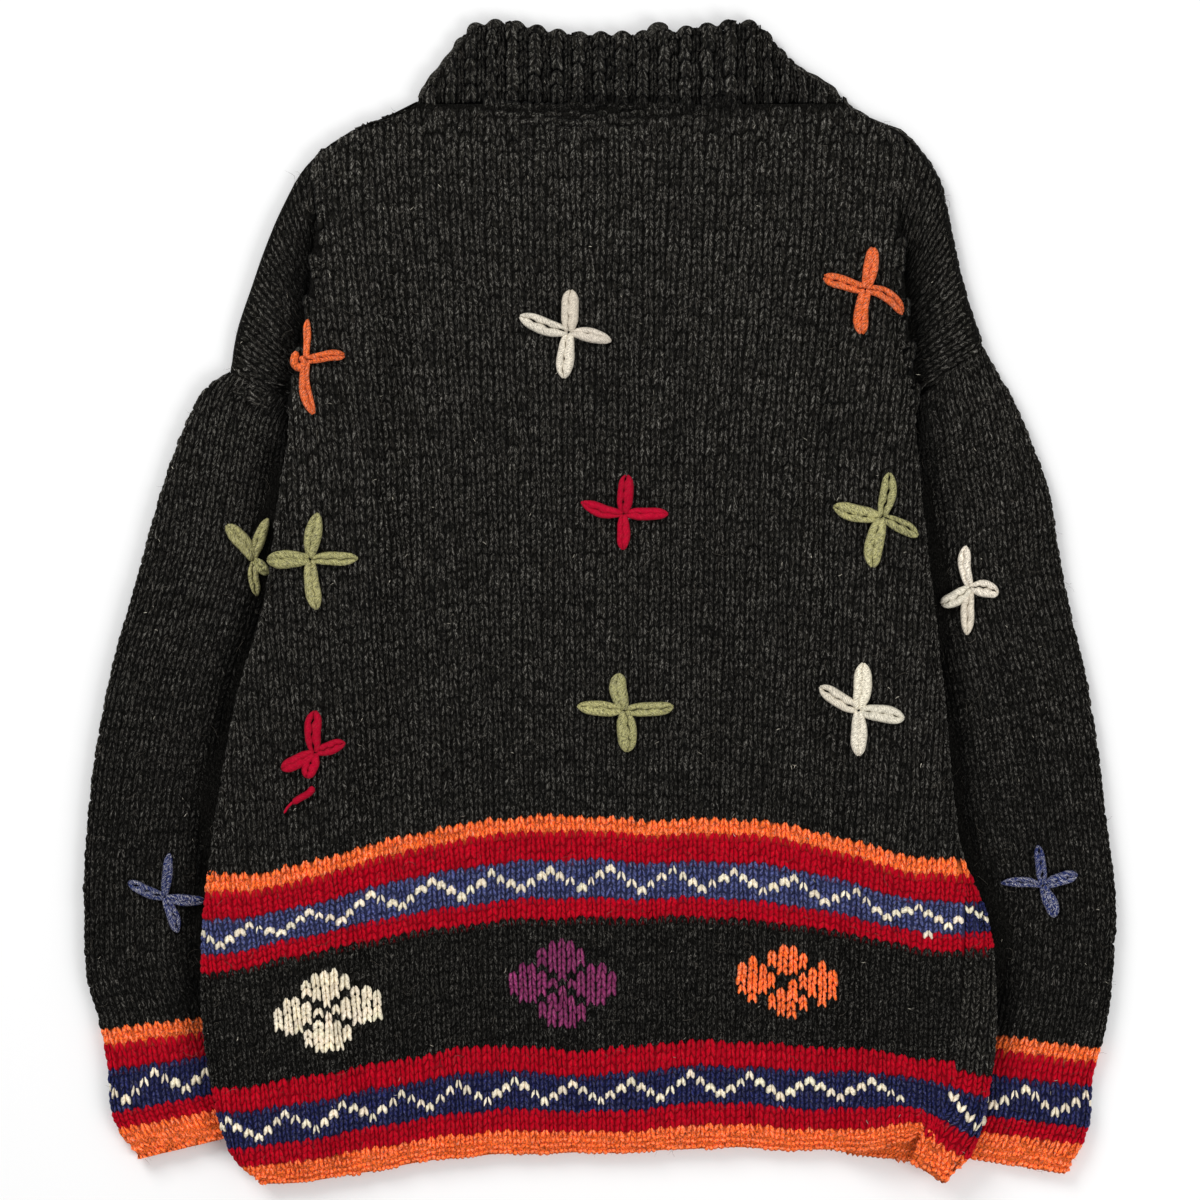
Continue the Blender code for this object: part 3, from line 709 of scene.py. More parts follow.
def bodyYarn(a, b):
    picked = bandYarn(b, "body")
    picked = np.where(onZigzag(a, b, lowZigzag, -3) & (a < 31), cream, picked)
    picked = np.where(onZigzag(a, b, highZigzag, -5), cream, picked)
    for wale, course, name, pattern in flowers:
        for row, line in enumerate(pattern):
            for column, mark in enumerate(line):
                there = (a == wale + column - 5) & (b == course + 5 - row) & (mark == "X")
                picked = np.where(there, yarnIndex[name], picked)
    # two single stitches have strayed from their patterns
    strayed = ((a == -23) & (b == 22)) | ((a == 32) & (b == 35))
    return np.where(strayed, cream, picked)


def sleeveYarn(a, b, peak):
    return np.where(onZigzag(a, b, lowZigzag, peak), cream, bandYarn(b, "sleeve"))


def frontYarn(a, b):
    # the front's upper zigzag has the darker ground
    picked = bandYarn(b, "body")
    picked = np.where(picked == yarnIndex["denim"], yarnIndex["navy"], picked)
    return np.where(onZigzag(a, b, lowZigzag, 0) | onZigzag(a, b, highZigzag, 0), cream, picked)


def heathered(picked):
    # each stitch takes a little more or less dye, and a heathered yarn varies most
    spread = np.where(picked == charcoal, 0.2, 0.07)[:, None]
    tone = 1 + spread * rng.standard_normal((len(picked), 1))
    tint = 1 + 0.012 * rng.standard_normal((len(picked), 4))
    tint[:, 3] = rng.uniform(0.8, 1.2, len(picked))
    return yarnTable[picked] * np.clip(tone, 0.55, 1.6) * tint


def toneByCourse(picked, b, table):
    # the charcoal is darker low down and palest at the shoulders, with nearly as many pale fibres
    share = np.where(picked == charcoal, readTable(table, b), 1.0)
    return heathered(picked) * np.column_stack([share, share, share, 0.45 + 0.55 * share])


def plumpness(picked, b):
    # the zigzags' stitches are drawn in unevenly, and the white flower's are full
    creams = picked == cream
    uneven = rng.choice([0.75, 0.95, 1.1, 1.2, 1.3], len(picked))
    return np.where(creams & ((b < 12) | (b > 36)), uneven, np.where(creams, 1.06, 1.0))


def tallness(picked, b):
    # stitches of a pattern stand out longer than those round them
    inFlowers = (b > 18) & (b < 30)
    patterned = (picked == cream) | (inFlowers & (picked != charcoal))
    return np.where(patterned, np.where(inFlowers, 1.14, 1.22), 1.0)


def looseness(b):
    # the border's rows are the least even
    return np.where(b < 3, 1.7, 1.0)


# stitches
knit = {
    "height": 1.4,  # how far a leg of yarn stands above the cloth
    "sunk": 1.1,  # how deep its sides go
    "settle": 0.7,  # how much lower than the surface all of it lies
    "width": 0.28,  # half width of a leg, in wales
    "spread": 0.365,  # how far apart the legs start, in wales
    "close": 0.085,  # and how near they end
    "low": -0.24,  # where a leg starts and ends, in courses
    "high": 1.34,
    "uneven": (0.05, 0.035, 0.1, 0.1),  # how much its width, its place across and along and its height vary
}


def legTemplate(rings):
    # one plump leg of yarn as a closed leaf: along it, across it, and how high
    points = [(0.0, 0.0, 0.0)]
    for s, wide, high in rings:
        points += [(s, -wide, 0.0), (s, 0.0, high), (s, wide, 0.0)]
    points.append((1.0, 0.0, 0.0))
    # its top faces, then its bottom ones
    top, under = [(0, 2, 1), (0, 3, 2)], [(0, 1, 3)]
    for i in range(1, len(points) - 4, 3):
        for j in (i, i + 1):
            top += [(j, j + 1, j + 4), (j, j + 4, j + 3)]
        under += [(i, i + 3, i + 5), (i, i + 5, i + 2)]
    end = len(points) - 1
    top += [(end - 3, end - 2, end), (end - 2, end - 1, end)]
    under.append((end - 3, end, end - 1))
    return np.array(points), np.array(top + under), len(top)


plumpLeg = legTemplate([(0.18, 0.78, 0.85), (0.5, 1.0, 1.0), (0.82, 0.72, 0.75)])
plainLeg = legTemplate([(0.28, 0.95, 1.0), (0.72, 0.9, 0.9)])
flatLeg = legTemplate([(0.5, 1.15, 1.0)])


def knitPiece(name, node, stitches, plan, surface, colours, purl=False, flip=False, leg=plumpLeg, plump=1.0,
              upright=False, loose=1.0, tall=1.0):
    # two legs for each knit stitch, two halves of a bump for each purl
    a, b = stitches
    count = len(a)
    shape, shapeFaces, topFaces = leg
    along, across, high = shape.T
    purl = np.broadcast_to(purl, count)[:, None]
    plump = np.broadcast_to(np.asarray(plump, float), count)[:, None]
    reach = (knit["high"] - knit["low"]) * np.reshape(tall, (-1, 1))
    jitter = rng.normal(0, 1, (4, count, 1)) * np.reshape(loose, (-1, 1))
    jitter = jitter * np.reshape(knit["uneven"], (4, 1, 1))
    near = along if upright else 1 - along
    points, fibres = [], []
    for hand in (-1, 1):
        aside = hand * (knit["spread"] * near + knit["close"] * (1 - near)) + across * knit["width"] * plump
        up = (knit["low"] + knit["high"]) / 2 + reach * (along - 0.5) + 0.10 * hand * across
        bumpAside = 0.5 * hand * (1.25 * along - 0.12) + 0 * across
        bumpUp = 0.28 + 0.22 * (1 - along) ** 2 - across * 0.56 * hand
        wale = a[:, None] + np.where(purl, bumpAside, aside) * (1 + jitter[0]) + jitter[1]
        course = b[:, None] + np.where(purl, bumpUp, up) + jitter[2]
        spot, normal = surfaceNormals(lambda p, q: surface(*plan(p, q)), wale, course, 0.06)
        if flip:
            normal = -normal
        rise = high * (knit["height"] + knit["sunk"]) * plump * (1 + jitter[3])
        points.append((spot + normal * (rise - knit["sunk"] - knit["settle"])[..., None]).reshape(-1, 3))
        seed = rng.uniform(0, 400, (count, 1))
        strand = np.stack([across * 1.7 + seed, along * 6.5 + 3 * seed, seed + 0 * along], axis=-1)
        fibres.append(strand.reshape(-1, 3))
    faces = (shapeFaces[None] + (np.arange(2 * count) * len(along))[:, None, None]).reshape(-1, 3)
    if flip:
        faces = faces[:, ::-1]
    # each leg has a place of its own for baking, its top beside its underside
    waleCell, courseCell = a - a.min(), b - b.min()
    corner = shapeFaces[:, ::-1] if flip else shapeFaces
    isTop = (np.arange(len(shapeFaces)) < topFaces)[:, None]
    inCell = np.where(isTop, 0.17 + 0.14 * across[corner], 0.41 + 0.07 * across[corner])
    uvs = []
    for half in (0.0, 0.5):
        bakeX = (waleCell[:, None, None] + half + inCell) / (waleCell.max() + 1)
        bakeY = (courseCell[:, None, None] + 0.05 + 0.9 * along[corner]) / (courseCell.max() + 1)
        uvs.append(np.stack([bakeX, bakeY], axis=-1).reshape(-1, 2))
    # painted shade and highlight: each leg is coloured darker down its sides, where it meets the next, and
    # paler along its top, the charcoal most
    mixed = np.interp(colours[:, 3:], [0.05, 0.12, 0.22, 0.5, 0.65], [0.12, 0.3, 1.0, 1.0, 0.35])
    deep = 1 + mixed * (1.6 * high[None] ** 2 - 0.83)
    paint = (colours[:, None] * deep[..., None]).reshape(-1, 4)
    addPiece(name, node, woolYarn, np.concatenate(points), faces, np.vstack([paint, paint]),
             np.concatenate(fibres), np.concatenate(uvs))


def grid(firstA, lastA, firstB, lastB):
    # every wale and course between these
    a, b = np.meshgrid(np.arange(firstA, lastA + 1), np.arange(firstB, lastB + 1), indexing="ij")
    return a.ravel().astype(float), b.ravel().astype(float)


# materials
def addNode(tree, kind, settings=None, links=None):
    # a link is given as a socket, or as a node whose first output it takes
    node = tree.nodes.new("ShaderNode" + kind)
    for key, value in (settings or {}).items():
        if isinstance(key, int) or key in node.inputs:
            node.inputs[key].default_value = value
        else:
            setattr(node, key, value)
    for key, source in (links or {}).items():
        tree.links.new(getattr(source, "outputs", [source])[0], node.inputs[key])
    return node


def newMaterial(name, settings):
    material = bpy.data.materials.new(name)
    material.use_nodes = True
    shader = material.node_tree.nodes["Principled BSDF"]
    for key, value in settings.items():
        shader.inputs[key].default_value = value
    return material, material.node_tree, shader


def woolCloth(name, shine):
    # carded wool: dull and hairy, dyed fibres with paler ones among them that lie along each strand
    material, tree, shader = newMaterial(name, {"Roughness": 0.92, "IOR": 1.54, "Specular IOR Level": shine,
                                                "Sheen Weight": 0.015, "Sheen Roughness": 0.5})
    yarn = addNode(tree, "Attribute", {"attribute_name": "yarn"})
    pale = yarn.outputs["Alpha"]
    strand = addNode(tree, "Attribute", {"attribute_name": "fibre"}).outputs["Vector"]
    # tufts of fibre, about 0.8 mm wide and 1.4 mm long
    stretched = addNode(tree, "VectorMath", {"operation": "MULTIPLY", 1: (1.25, 0.75, 1.0)}, {0: strand})
    tufts = addNode(tree, "TexNoise", {"Scale": 1.0, "Detail": 3.0, "Roughness": 0.6}, {"Vector": stretched})
    tone = addNode(tree, "MapRange", {"From Min": 0.32, "From Max": 0.68, "To Min": -0.85, "To Max": 1.1},
                   {"Value": tufts})
    # a yarn of one dye is more even than a heathered one
    mixed = addNode(tree, "MapRange", {"From Min": 0.05, "From Max": 0.25, "To Min": 0.25, "To Max": 1.0},
                    {"Value": pale})
    calmer = addNode(tree, "MapRange", {"From Min": 0.4, "From Max": 1.1, "To Min": 1.0, "To Max": 0.5},
                     {"Value": pale})
    contrast = addNode(tree, "Math", {"operation": "MINIMUM"}, {0: mixed, 1: calmer})
    varied = addNode(tree, "Math", {"operation": "MULTIPLY_ADD", 2: 1.0}, {0: tone, 1: contrast})
    shaded = addNode(tree, "VectorMath", {"operation": "SCALE"}, {"Vector": yarn, "Scale": varied})
    # single pale fibres wander along each strand, about 0.3 mm wide
    thinner = addNode(tree, "VectorMath", {"operation": "MULTIPLY", 1: (1.45, 0.42, 1.0)}, {0: strand})
    single = addNode(tree, "TexNoise", {"Scale": 1.0, "Detail": 1.0, "Roughness": 0.5}, {"Vector": thinner})
    beside = addNode(tree, "Math", {"operation": "SUBTRACT", 1: 0.57}, {0: single})
    away = addNode(tree, "Math", {"operation": "ABSOLUTE"}, {0: beside})
    picked = addNode(tree, "MapRange", {"From Min": 0.01, "From Max": 0.045, "To Min": 1.0, "To Max": 0.0},
                     {"Value": away})
    showing = addNode(tree, "Math", {"operation": "MULTIPLY"}, {0: picked, 1: pale})
    paler = addNode(tree, "VectorMath", {"operation": "SCALE", 0: (0.29, 0.275, 0.245)}, {"Scale": showing})
    both = addNode(tree, "VectorMath", {"operation": "ADD"}, {0: shaded, 1: paler})
    bump = addNode(tree, "Bump", {"Strength": 0.6, "Distance": 0.0006}, {"Height": tufts})
    tree.links.new(both.outputs[0], shader.inputs["Base Color"])
    tree.links.new(bump.outputs[0], shader.inputs["Normal"])
    return material


woolYarn = woolCloth("carded wool yarn, hand-knit", 0.06)
backingWool = woolCloth("carded wool yarn, the cloth between the stitches", 0.03)
print("materials ready")

# the back
bodyTones = [(16, 0.34), (33, 0.45), (60, 0.8), (134, 1.08)]  # course, how pale the charcoal is


def insideBody(a, b):
    x, y = bodyPlan(a, b + 0.5)
    wrap = wrapOf(y)
    seam = np.where(wrap > 0.5, rightEdge(y) - wrap, rightEdge(y) + slack)
    above = smoothStep(cloth["armhole"] - 12, cloth["armhole"], y) > 0.5
    low = leftEdge(y) + np.where(above, -body["creaseOver"], -slack - body["foldOver"])
    high = np.where(above, rightEdge(y) + body["creaseOver"], seam)
    top = cloth["neck"] + np.interp(np.abs(x - cloth["nape"]), [60, 100], [3.0, -2.0])
    return (x > low) & (x < high) & (shoulderDistance(x, y)[0] > -slack) & (y < top)


def borderPurls(a, b):
    return (b <= 1) | ((b == 2) & (np.mod(a * 7 + 3, 5) < 2))


def bodyPurls(a, b):
    # the border's rough rows, and a lens of purl rows under the collar
    x, y = bodyPlan(a, b)
    lens = body["lensLow"] + body["lensRise"] * ((x - body["lensAt"]) / body["lensHalf"]) ** 2
    under = y > lens + 3 * np.sin(a * 2.3)
    return borderPurls(a, b) | (under & (rng.random(len(a)) < 0.7))


def seamShade(x, away):
    # little light reaches the seam under the collar
    ends = smoothStep(-95, -50, x) * smoothStep(160, 120, x)
    return 1 - body["seamShade"] * bell(np.maximum(away, 0.0), body["seamShadeWidth"]) * ends


def buildBackCloth():
    b = np.arange(0.0, 134.2, 1.0)[:, None]
    # closer together at the folds and at the lower right-hand corner
    spans = [(0.0, 0.03, 5), (0.045, 0.87, 48), (0.88, 1.0, 17)]
    shares = np.concatenate([np.linspace(*span) for span in spans])
    b = np.repeat(b, len(shares), axis=1)
    y = courseHeight(b)
    for _ in range(3):
        low = leftEdge(y) - slack
        high = rightEdge(y) + np.where(wrapOf(y) > 0.5, -wrapOf(y), slack)
        x = low + (high - low) * shares[None]
        y = courseHeight(b) + archAt(x, courseHeight(b))
    y = np.minimum(y, np.where(atNeck(x), cloth["neck"], shoulderHeight(x)))
    top, normals = surfaceNormals(bodySurface, x, y)
    clothPiece("backCloth", "back", top, normals, bandYarn(b.ravel() + 0.001, "body"), cloth["wall"])


buildBackCloth()
for name, firstCourse, lastCourse in (("backStitchesLow", 0, 47), ("backStitchesHigh", 48, 134)):
    a, b = grid(-44, 42, firstCourse, lastCourse)
    keep = insideBody(a, b)
    a, b = a[keep], b[keep]
    picked = bodyYarn(a, b)
    x, y = bodyPlan(a, b + 0.5)
    colours = toneByCourse(picked, b, bodyTones) * seamShade(x, cloth["neck"] - y)[:, None]
    loose = np.where(y > 296, 2.0, looseness(b))  # the rows under the collar are uneven too
    knitPiece(name, "back", (a, b), bodyPlan, bodySurface, colours, bodyPurls(a, b),
              plump=plumpness(picked, b), loose=loose, tall=tallness(picked, b))
print("back knitted")

# the shoulder flaps
for side, label in ((-1.0, "Left"), (1.0, "Right")):
    plan, surface = flapPlan(side), flapSurface(side)
    a, b = grid(-1, 17, 0, 26)
    x, y = plan(a, b + 0.5)
    keep = (side * x > bodyEdge(side, y) - body["flapUnder"]) & (y < body["flapTop"])
    a, b, x, y = a[keep], b[keep], x[keep], y[keep]
    # painted shade: the stitches at the bottom of the crease beside the body are coloured darker, standing
    # in for its shade
    creaseShade = 1 - 0.93 * creaseAt(side, side * x, y, 17.0) * smoothStep(275, 220, y)
    colours = heathered(np.full(len(a), charcoal)) * creaseShade[:, None]
    knitPiece(f"flap{label}Stitches", "back", (a, b), plan, surface, colours, flip=side < 0,
              plump=np.where(b < 1, 0.75, 1.0))
    rows = np.linspace(*body["flapCloth"], 40)[:, None]
    shares = np.linspace(0.0, 1.0, 16)[None]
    y = rows + 0 * shares
    outer, inner = flapEdge(side, y) + slack, bodyEdge(side, y) - body["flapClothUnder"]
    x = side * (outer + (inner - outer) * shares)
    # its lowest corner starts at the armhole seam
    y = y + (1 - shares) * np.interp(rows, [body["flapCloth"][0], 160.0], [24.0, 0.0])
    top, normals = surfaceNormals(surface, x, y)
    # the cloth comes up between the stitches at the outline
    depth = np.interp(shares, [0.0, 0.13, 0.3], [0.1, 0.4, cloth["backing"]])[..., None]
    clothPiece(f"flap{label}Cloth", "back", top, normals, np.full(x.size, charcoal), cloth["wall"],
               flip=side > 0, depth=depth)
print("shoulder flaps knitted")


# tubes: the sleeves, the front and the collar
def tubeCloth(name, node, tube, courses, band, flip=False, turns=56, span=None):
    b = np.repeat(courses[:, None], turns, axis=1)
    if span is None:
        s = tube.girth(b) * 2 * np.linspace(0.0, 1.0, turns, endpoint=False)[None]
    else:
        s = span[0](b) + (span[1](b) - span[0](b)) * np.linspace(0.0, 1.0, turns)[None]
    top, normals = surfaceNormals(tube.surface, s, b, 0.3)
    if flip:
        normals = -normals
    yarn = bandYarn(b.ravel() + 0.001, band)
    clothPiece(name, node, top, normals, yarn, cloth["tubeWall"], around=span is None, flip=flip)


sleeveTones = [(18, 0.4), (45, 0.48), (75, 0.8), (95, 0.95)]  # the same for the sleeves
leanStart = 78  # course where the wales start to lean

for label, part in sleeves.items():
    sleeve = sleeveTube(part)
    side, node, name = part["side"], f"sleeve_{label}", f"sleeve{label.capitalize()}"

    def sleevePlan(a, b):
        # near the armhole the wales lean less than the outer edge does
        leant = np.abs(sleeve.cut(leanStart + 0 * b)[0]) - np.abs(sleeve.cut(np.maximum(b, leanStart))[0])
        return a * sleeveWale - 0.5 * leant, b

    lastCourse = part["courses"][-1][0]
    a, b = grid(-2, 68, 0, lastCourse - 1)
    s, full = sleevePlan(a, b + 0.5)[0], sleeve.girth(b + 0.5)
    x, y, _ = sleeve.surface(s, b + 0.5)
    first = -2.2 * sleeveWale  # the first wale lies just round the outer fold
    last = full + 3.0  # and what shows ends just round the inner one
    inside = (s > first) & (s < 2 * full + first)
    seen = inside & (s < last) & ((side * x > bodyEdge(side, y) - 14.0) | (b < 6))
    for tag, keep, leg in (("Stitches", seen, plumpLeg), ("Underside", inside & (s >= last), plainLeg)):
        wales, rows = a[keep], b[keep]
        picked = sleeveYarn(wales, rows, part["zigzagPeak"])
        # painted shade: the stitches beside the body's edge are coloured darker, standing in for the
        # crease's shade
        creaseShade = 1 - 0.8 * creaseAt(side, side * x[keep], y[keep], 15.0) * smoothStep(-330, -250, y[keep])
        colours = toneByCourse(picked, rows, sleeveTones) * creaseShade[:, None]
        knitPiece(name + tag, node, (wales, rows), sleevePlan, sleeve.surface, colours,
                  borderPurls(wales, rows), flip=side > 0, leg=leg, plump=plumpness(picked, rows),
                  loose=looseness(rows), tall=np.where(picked == cream, 1.22, 1.0))
    tubeCloth(name + "Cloth", node, sleeve, np.arange(0.0, lastCourse + 0.1, 1.0), "sleeve", flip=side > 0)
print("sleeves knitted")

front = Tube(frontCut, lambda x, y: 0 * x, frontRest, frontBend)
frontWale = 6.5


def frontStart(b):
    # round the right-hand fold on to the top, as far as the seam
    y = frontCut(b)[1]
    return wrapOf(y) * (y < cloth["armhole"]) + slack + 0 * b


def frontPlan(a, b):
    return frontStart(b) - (a + 0.5) * frontWale, b


def frontInside(s, b):
    # the side of the lower layer that faces up
    x, y, z = front.surface(s, b)
    return x, y, z + body["hemInside"]


a, b = grid(0, 100, 0, 133)
s, full = frontPlan(a, b + 0.5)[0], front.girth(b + 0.5)
inside = s > -full + np.where(courseHeight(b) > cloth["armhole"] + 20, 6.0, 1.0)
near = inside & ((s > -quarter - 4.0) | (s < -full + quarter))
for tag, keep, leg in (("Stitches", near, plumpLeg), ("Underside", inside & ~near, flatLeg)):
    wales, rows = a[keep], b[keep]
    picked = frontYarn(wales, rows)
    knitPiece("front" + tag, "front", (wales, rows), frontPlan, front.surface, heathered(picked),
              borderPurls(wales, rows), leg=leg, plump=plumpness(picked, rows), upright=True,
              loose=looseness(rows), tall=tallness(picked, rows))
wales, rows = grid(7, 16, 0, 5)
# painted shade: the lower layer's upper side, in under the back's hem, is coloured a quarter darker
colours = heathered(frontYarn(wales, rows)) * 0.75
knitPiece("frontHemInside", "front", (wales, rows), frontPlan, frontInside, colours, purl=True, flip=True)
tubeCloth("frontCloth", "front", front, np.arange(0.0, 133.6, 1.5), "body", flip=True, turns=70,
          span=(frontStart, lambda b: -front.girth(b)))
print("front knitted")

collarTube = Tube(collarCut, lambda x, y: -2.0 - collarFoot(x, y), None, collarBend)
lastRow = collar["courses"] - 1
a, b = grid(0, 2 * len(collar["ribs"]) - 2, 0, lastRow)
x, y = collarPlan(a, b + 0.5)
left, right = collarEdges(y)
keep = (x > left + 0.5) & (x < right - np.where(b < lastRow, 0.5, 3.5))
a, b = a[keep], b[keep]
grooves = a % 2 == 1
shade = np.where(grooves, 0.66, 1.08) * seamShade(x[keep], y[keep] - cloth["neck"])
colours = heathered(np.full(len(a), charcoal)) * shade[:, None]
knitPiece("collarStitches", "collar", (a, b), collarPlan, collarSurface, colours,
          plump=np.where(grooves, 0.9, 1.1), loose=1.3)
tubeCloth("collarCloth", "collar", collarTube, np.linspace(0.0, collar["clothTop"], 12), "collar", turns=60)
print("collar knitted")


# the cloth's height, for what lies on it
def coverTree():
    points, faces, start = [], [], 0
    for piece in list(cloths.values()) + [p for p in sewn["back"] if p.name.endswith("Cloth")]:
        mesh = piece.data
        spots = np.empty(len(mesh.vertices) * 3, np.float32)
        mesh.vertices.foreach_get("co", spots)
        corners = np.empty(len(mesh.loops), np.int32)
        mesh.loops.foreach_get("vertex_index", corners)
        points.append(spots.reshape(-1, 3) / mm)
        faces.append(corners.reshape(-1, 3) + start)
        start += len(mesh.vertices)
    return BVHTree.FromPolygons(np.concatenate(points).tolist(), np.concatenate(faces).tolist())


cover = coverTree()


def clothHeight(plan, empty=0.0):
    # looked for straight down from well above the cloth
    found = np.empty(len(plan))
    for k, (x, y) in enumerate(plan.tolist()):
        hit = cover.ray_cast((x, y, 60.0), (0.0, 0.0, -1.0))[0]
        found[k] = empty if hit is None else hit[2]
    return found


def strandPiece(name, node, paths, sides=8):
    # closed tubes of yarn: each path has its points, its half widths, its half heights and a colour
    points, faces, colours, fibres, start = [], [], [], [], 0
    k = np.arange(sides)
    angle = k * 2 * math.pi / sides
    for spots, wide, high, colour in paths:
        ahead = np.gradient(spots, axis=0)
        ahead /= np.linalg.norm(ahead, axis=1, keepdims=True)
        beside = np.stack([ahead[:, 1], -ahead[:, 0], 0 * ahead[:, 0]], axis=1)
        beside /= np.maximum(np.linalg.norm(beside, axis=1, keepdims=True), 1e-6)
        above = np.cross(beside, ahead)
        ring = spots[:, None] + beside[:, None] * (wide[:, None] * np.cos(angle))[..., None]
        ring = ring + above[:, None] * (high[:, None] * np.sin(angle))[..., None]
        count = len(spots)
        points += [ring.reshape(-1, 3), spots[:1], spots[-1:]]
        first, last = count * sides, count * sides + 1
        lastRing = (count - 1) * sides
        ends = [np.stack([0 * k + first, (k + 1) % sides, k], 1),
                np.stack([0 * k + last, lastRing + k, lastRing + (k + 1) % sides], 1)]
        faces.append(np.vstack([gridTriangles(count, sides, around=True)] + ends) + start)
        run = lengthAlong(spots)[:, None]
        seed = rng.uniform(0, 400)
        # the plies wind round the strand
        across = wide[:, None] * angle[None] + run * 0.9 + seed
        strand = np.stack([across, run + 0 * across, seed + 0 * across], axis=-1).reshape(-1, 3)
        fibres += [strand, strand[:1], strand[-1:]]
        # painted light and shade: paler along the top, darker beneath
        paintedLight = np.append(np.tile(np.sin(angle), count), [0, 0])[:, None]
        colours.append(colour[None] * (0.75 + 0.35 * paintedLight))
        start += count * sides + 2
    addPiece(name, node, woolYarn, *(np.concatenate(part) for part in (points, faces, colours, fibres)))


# embroidery: crosses of two-strand petals
crosses = [
    # cloth, yarn, centre, then each petal's tip, its width and how far it bows aside
    ("back", "tangerine", (-190, 155),
     [(-190, 182, 5.6, 0), (-165.5, 158.5, 7.2, 0.8), (-185.5, 120.5, 7.6, -3.2)]),
    ("back", "white", (-20, 174),
     [(-19, 201.5, 11.8, 0), (-52, 184.5, 11.2, 1.3), (7, 168.5, 9.2, 1), (-23.5, 144.5, 11.4, -0.6)]),
    ("back", "tangerine", (172, 201),
     [(177, 228, 9.6, -0.6), (145.5, 209.5, 9.4, 0.6), (196, 186, 8.8, 4), (169, 172.5, 9.6, -1.6)]),
    ("back", "crimson", (15.5, 56),
     [(17.5, 81, 10.8, 0), (-12, 63.5, 8.8, 1.8), (44, 56, 8.4, 0), (15, 33, 8.6, 0)]),
    ("back", "sage", (182.5, 53.5),
     [(187.5, 82, 10.6, -1), (151.5, 60.5, 11.4, 1), (205.5, 41.5, 9.2, 0.8), (176.5, 21.5, 12.2, -1.8)]),
    ("sleeve_left", "sage", (-225.5, 26.5),
     [(-243, 48.5, 10.8, -1.5), (-216.5, 53, 8.2, 0.8), (-223.5, 3, 7.2, -1), (-216, 17, 7.5, 0)]),
    ("back", "sage", (-187.5, 26.5),
     [(-182.5, 56, 10.8, 0.6), (-216, 26, 11.6, 0), (-157, 27, 9, 0), (-183.5, -6, 10.2, -0.8)]),
    ("sleeve_right", "white", (241, 8),
     [(238, 35, 8.4, 2.2), (222.5, -2.5, 10.4, 1.5), (259, 4.5, 11, 1.2), (239, -22.5, 8.8, -0.8)]),
    ("back", "sage", (15.5, -71.5),
     [(12, -48, 11.6, 1.6), (-14.5, -69, 9.8, 0.4), (47.5, -69.5, 9.4, -0.6), (17.5, -98.5, 13, 1)]),
    ("back", "white", (167.5, -71.5),
     [(170.5, -41, 12, -0.8), (143, -56.5, 10.8, 0.6), (196.5, -76.5, 11.4, 0.6), (167.5, -100.5, 10.6, 0)]),
    ("back", "crimson", (-184.5, -99),
     [(-184.5, -72, 11.2, 1.5), (-165.5, -92.5, 8.8, 0), (-206, -109.5, 9.8, 0), (-190, -115, 10.4, 0)]),
    ("sleeve_left", "blue", (-283, -193.5),
     [(-280, -165, 6.8, 0), (-306.5, -183.5, 8, 0.8), (-257.5, -196, 7.6, -0.65), (-275, -216, 8.2, 0.8)]),
    ("sleeve_right", "blue", (288, -186),
     [(285, -160, 7.4, 0), (261.5, -184.5, 6.6, -2), (310.5, -178.5, 8.8, 0.8), (296, -206, 9.6, 0.6)]),
]
# points, half width and yarn of each loose end
looseEnds = [
    ([(-185.5, -121), (-188.5, -125), (-194.5, -128.5), (-199, -131.5)], 2.4, "crimson"),
    ([(-198, -130), (-202, -134), (-204.5, -138)], 0.9, "crimson"),
    ([(-189.5, 153.5), (-194.5, 150.5), (-198, 154), (-196.5, 161)], 3.0, "tangerine"),
    ([(-194, 157.5), (-191.5, 154.5), (-190, 151)], 2.2, "tangerine"),
]
petalShape = {
    "stations": [0.0, 0.12, 0.3, 0.55, 0.75, 0.9, 1.0],
    "widths": [0.42, 0.62, 0.92, 1.05, 0.95, 0.64, 0.12],
    "bluntWidths": [0.7, 0.8, 0.92, 1.0, 1.0, 0.86, 0.4],
    "lift": 1.9,  # how far above the plain cloth the top of the stitches lies
    "rings": 15,  # of points along one of a petal's strands
    "bridge": 2.0,  # how far beside it a strand on the back is held up by the cloth
    "blunt": (0.1, 0.5),  # how bluntly a petal ends
    "strand": (0.47, 0.6),  # half width of one of its two strands, as a share of the petal's
    "lean": 0.12,  # how much wider than that one of them may be
    "mostHigh": 2.4,  # half height of the thickest strand
    "twist": 0.12,  # how much its thickness varies along it
    "blueTwist": 0.22,
}


def underStrand(plan, bridges=True):
    # a strand lies as high as the highest cloth around it
    far = petalShape["bridge"]
    around = [(0, 0), (far, 0), (-far, 0), (0, far), (0, -far)] if bridges else [(0, 0)]
    return np.max([clothHeight(plan + step) for step in around], axis=0)


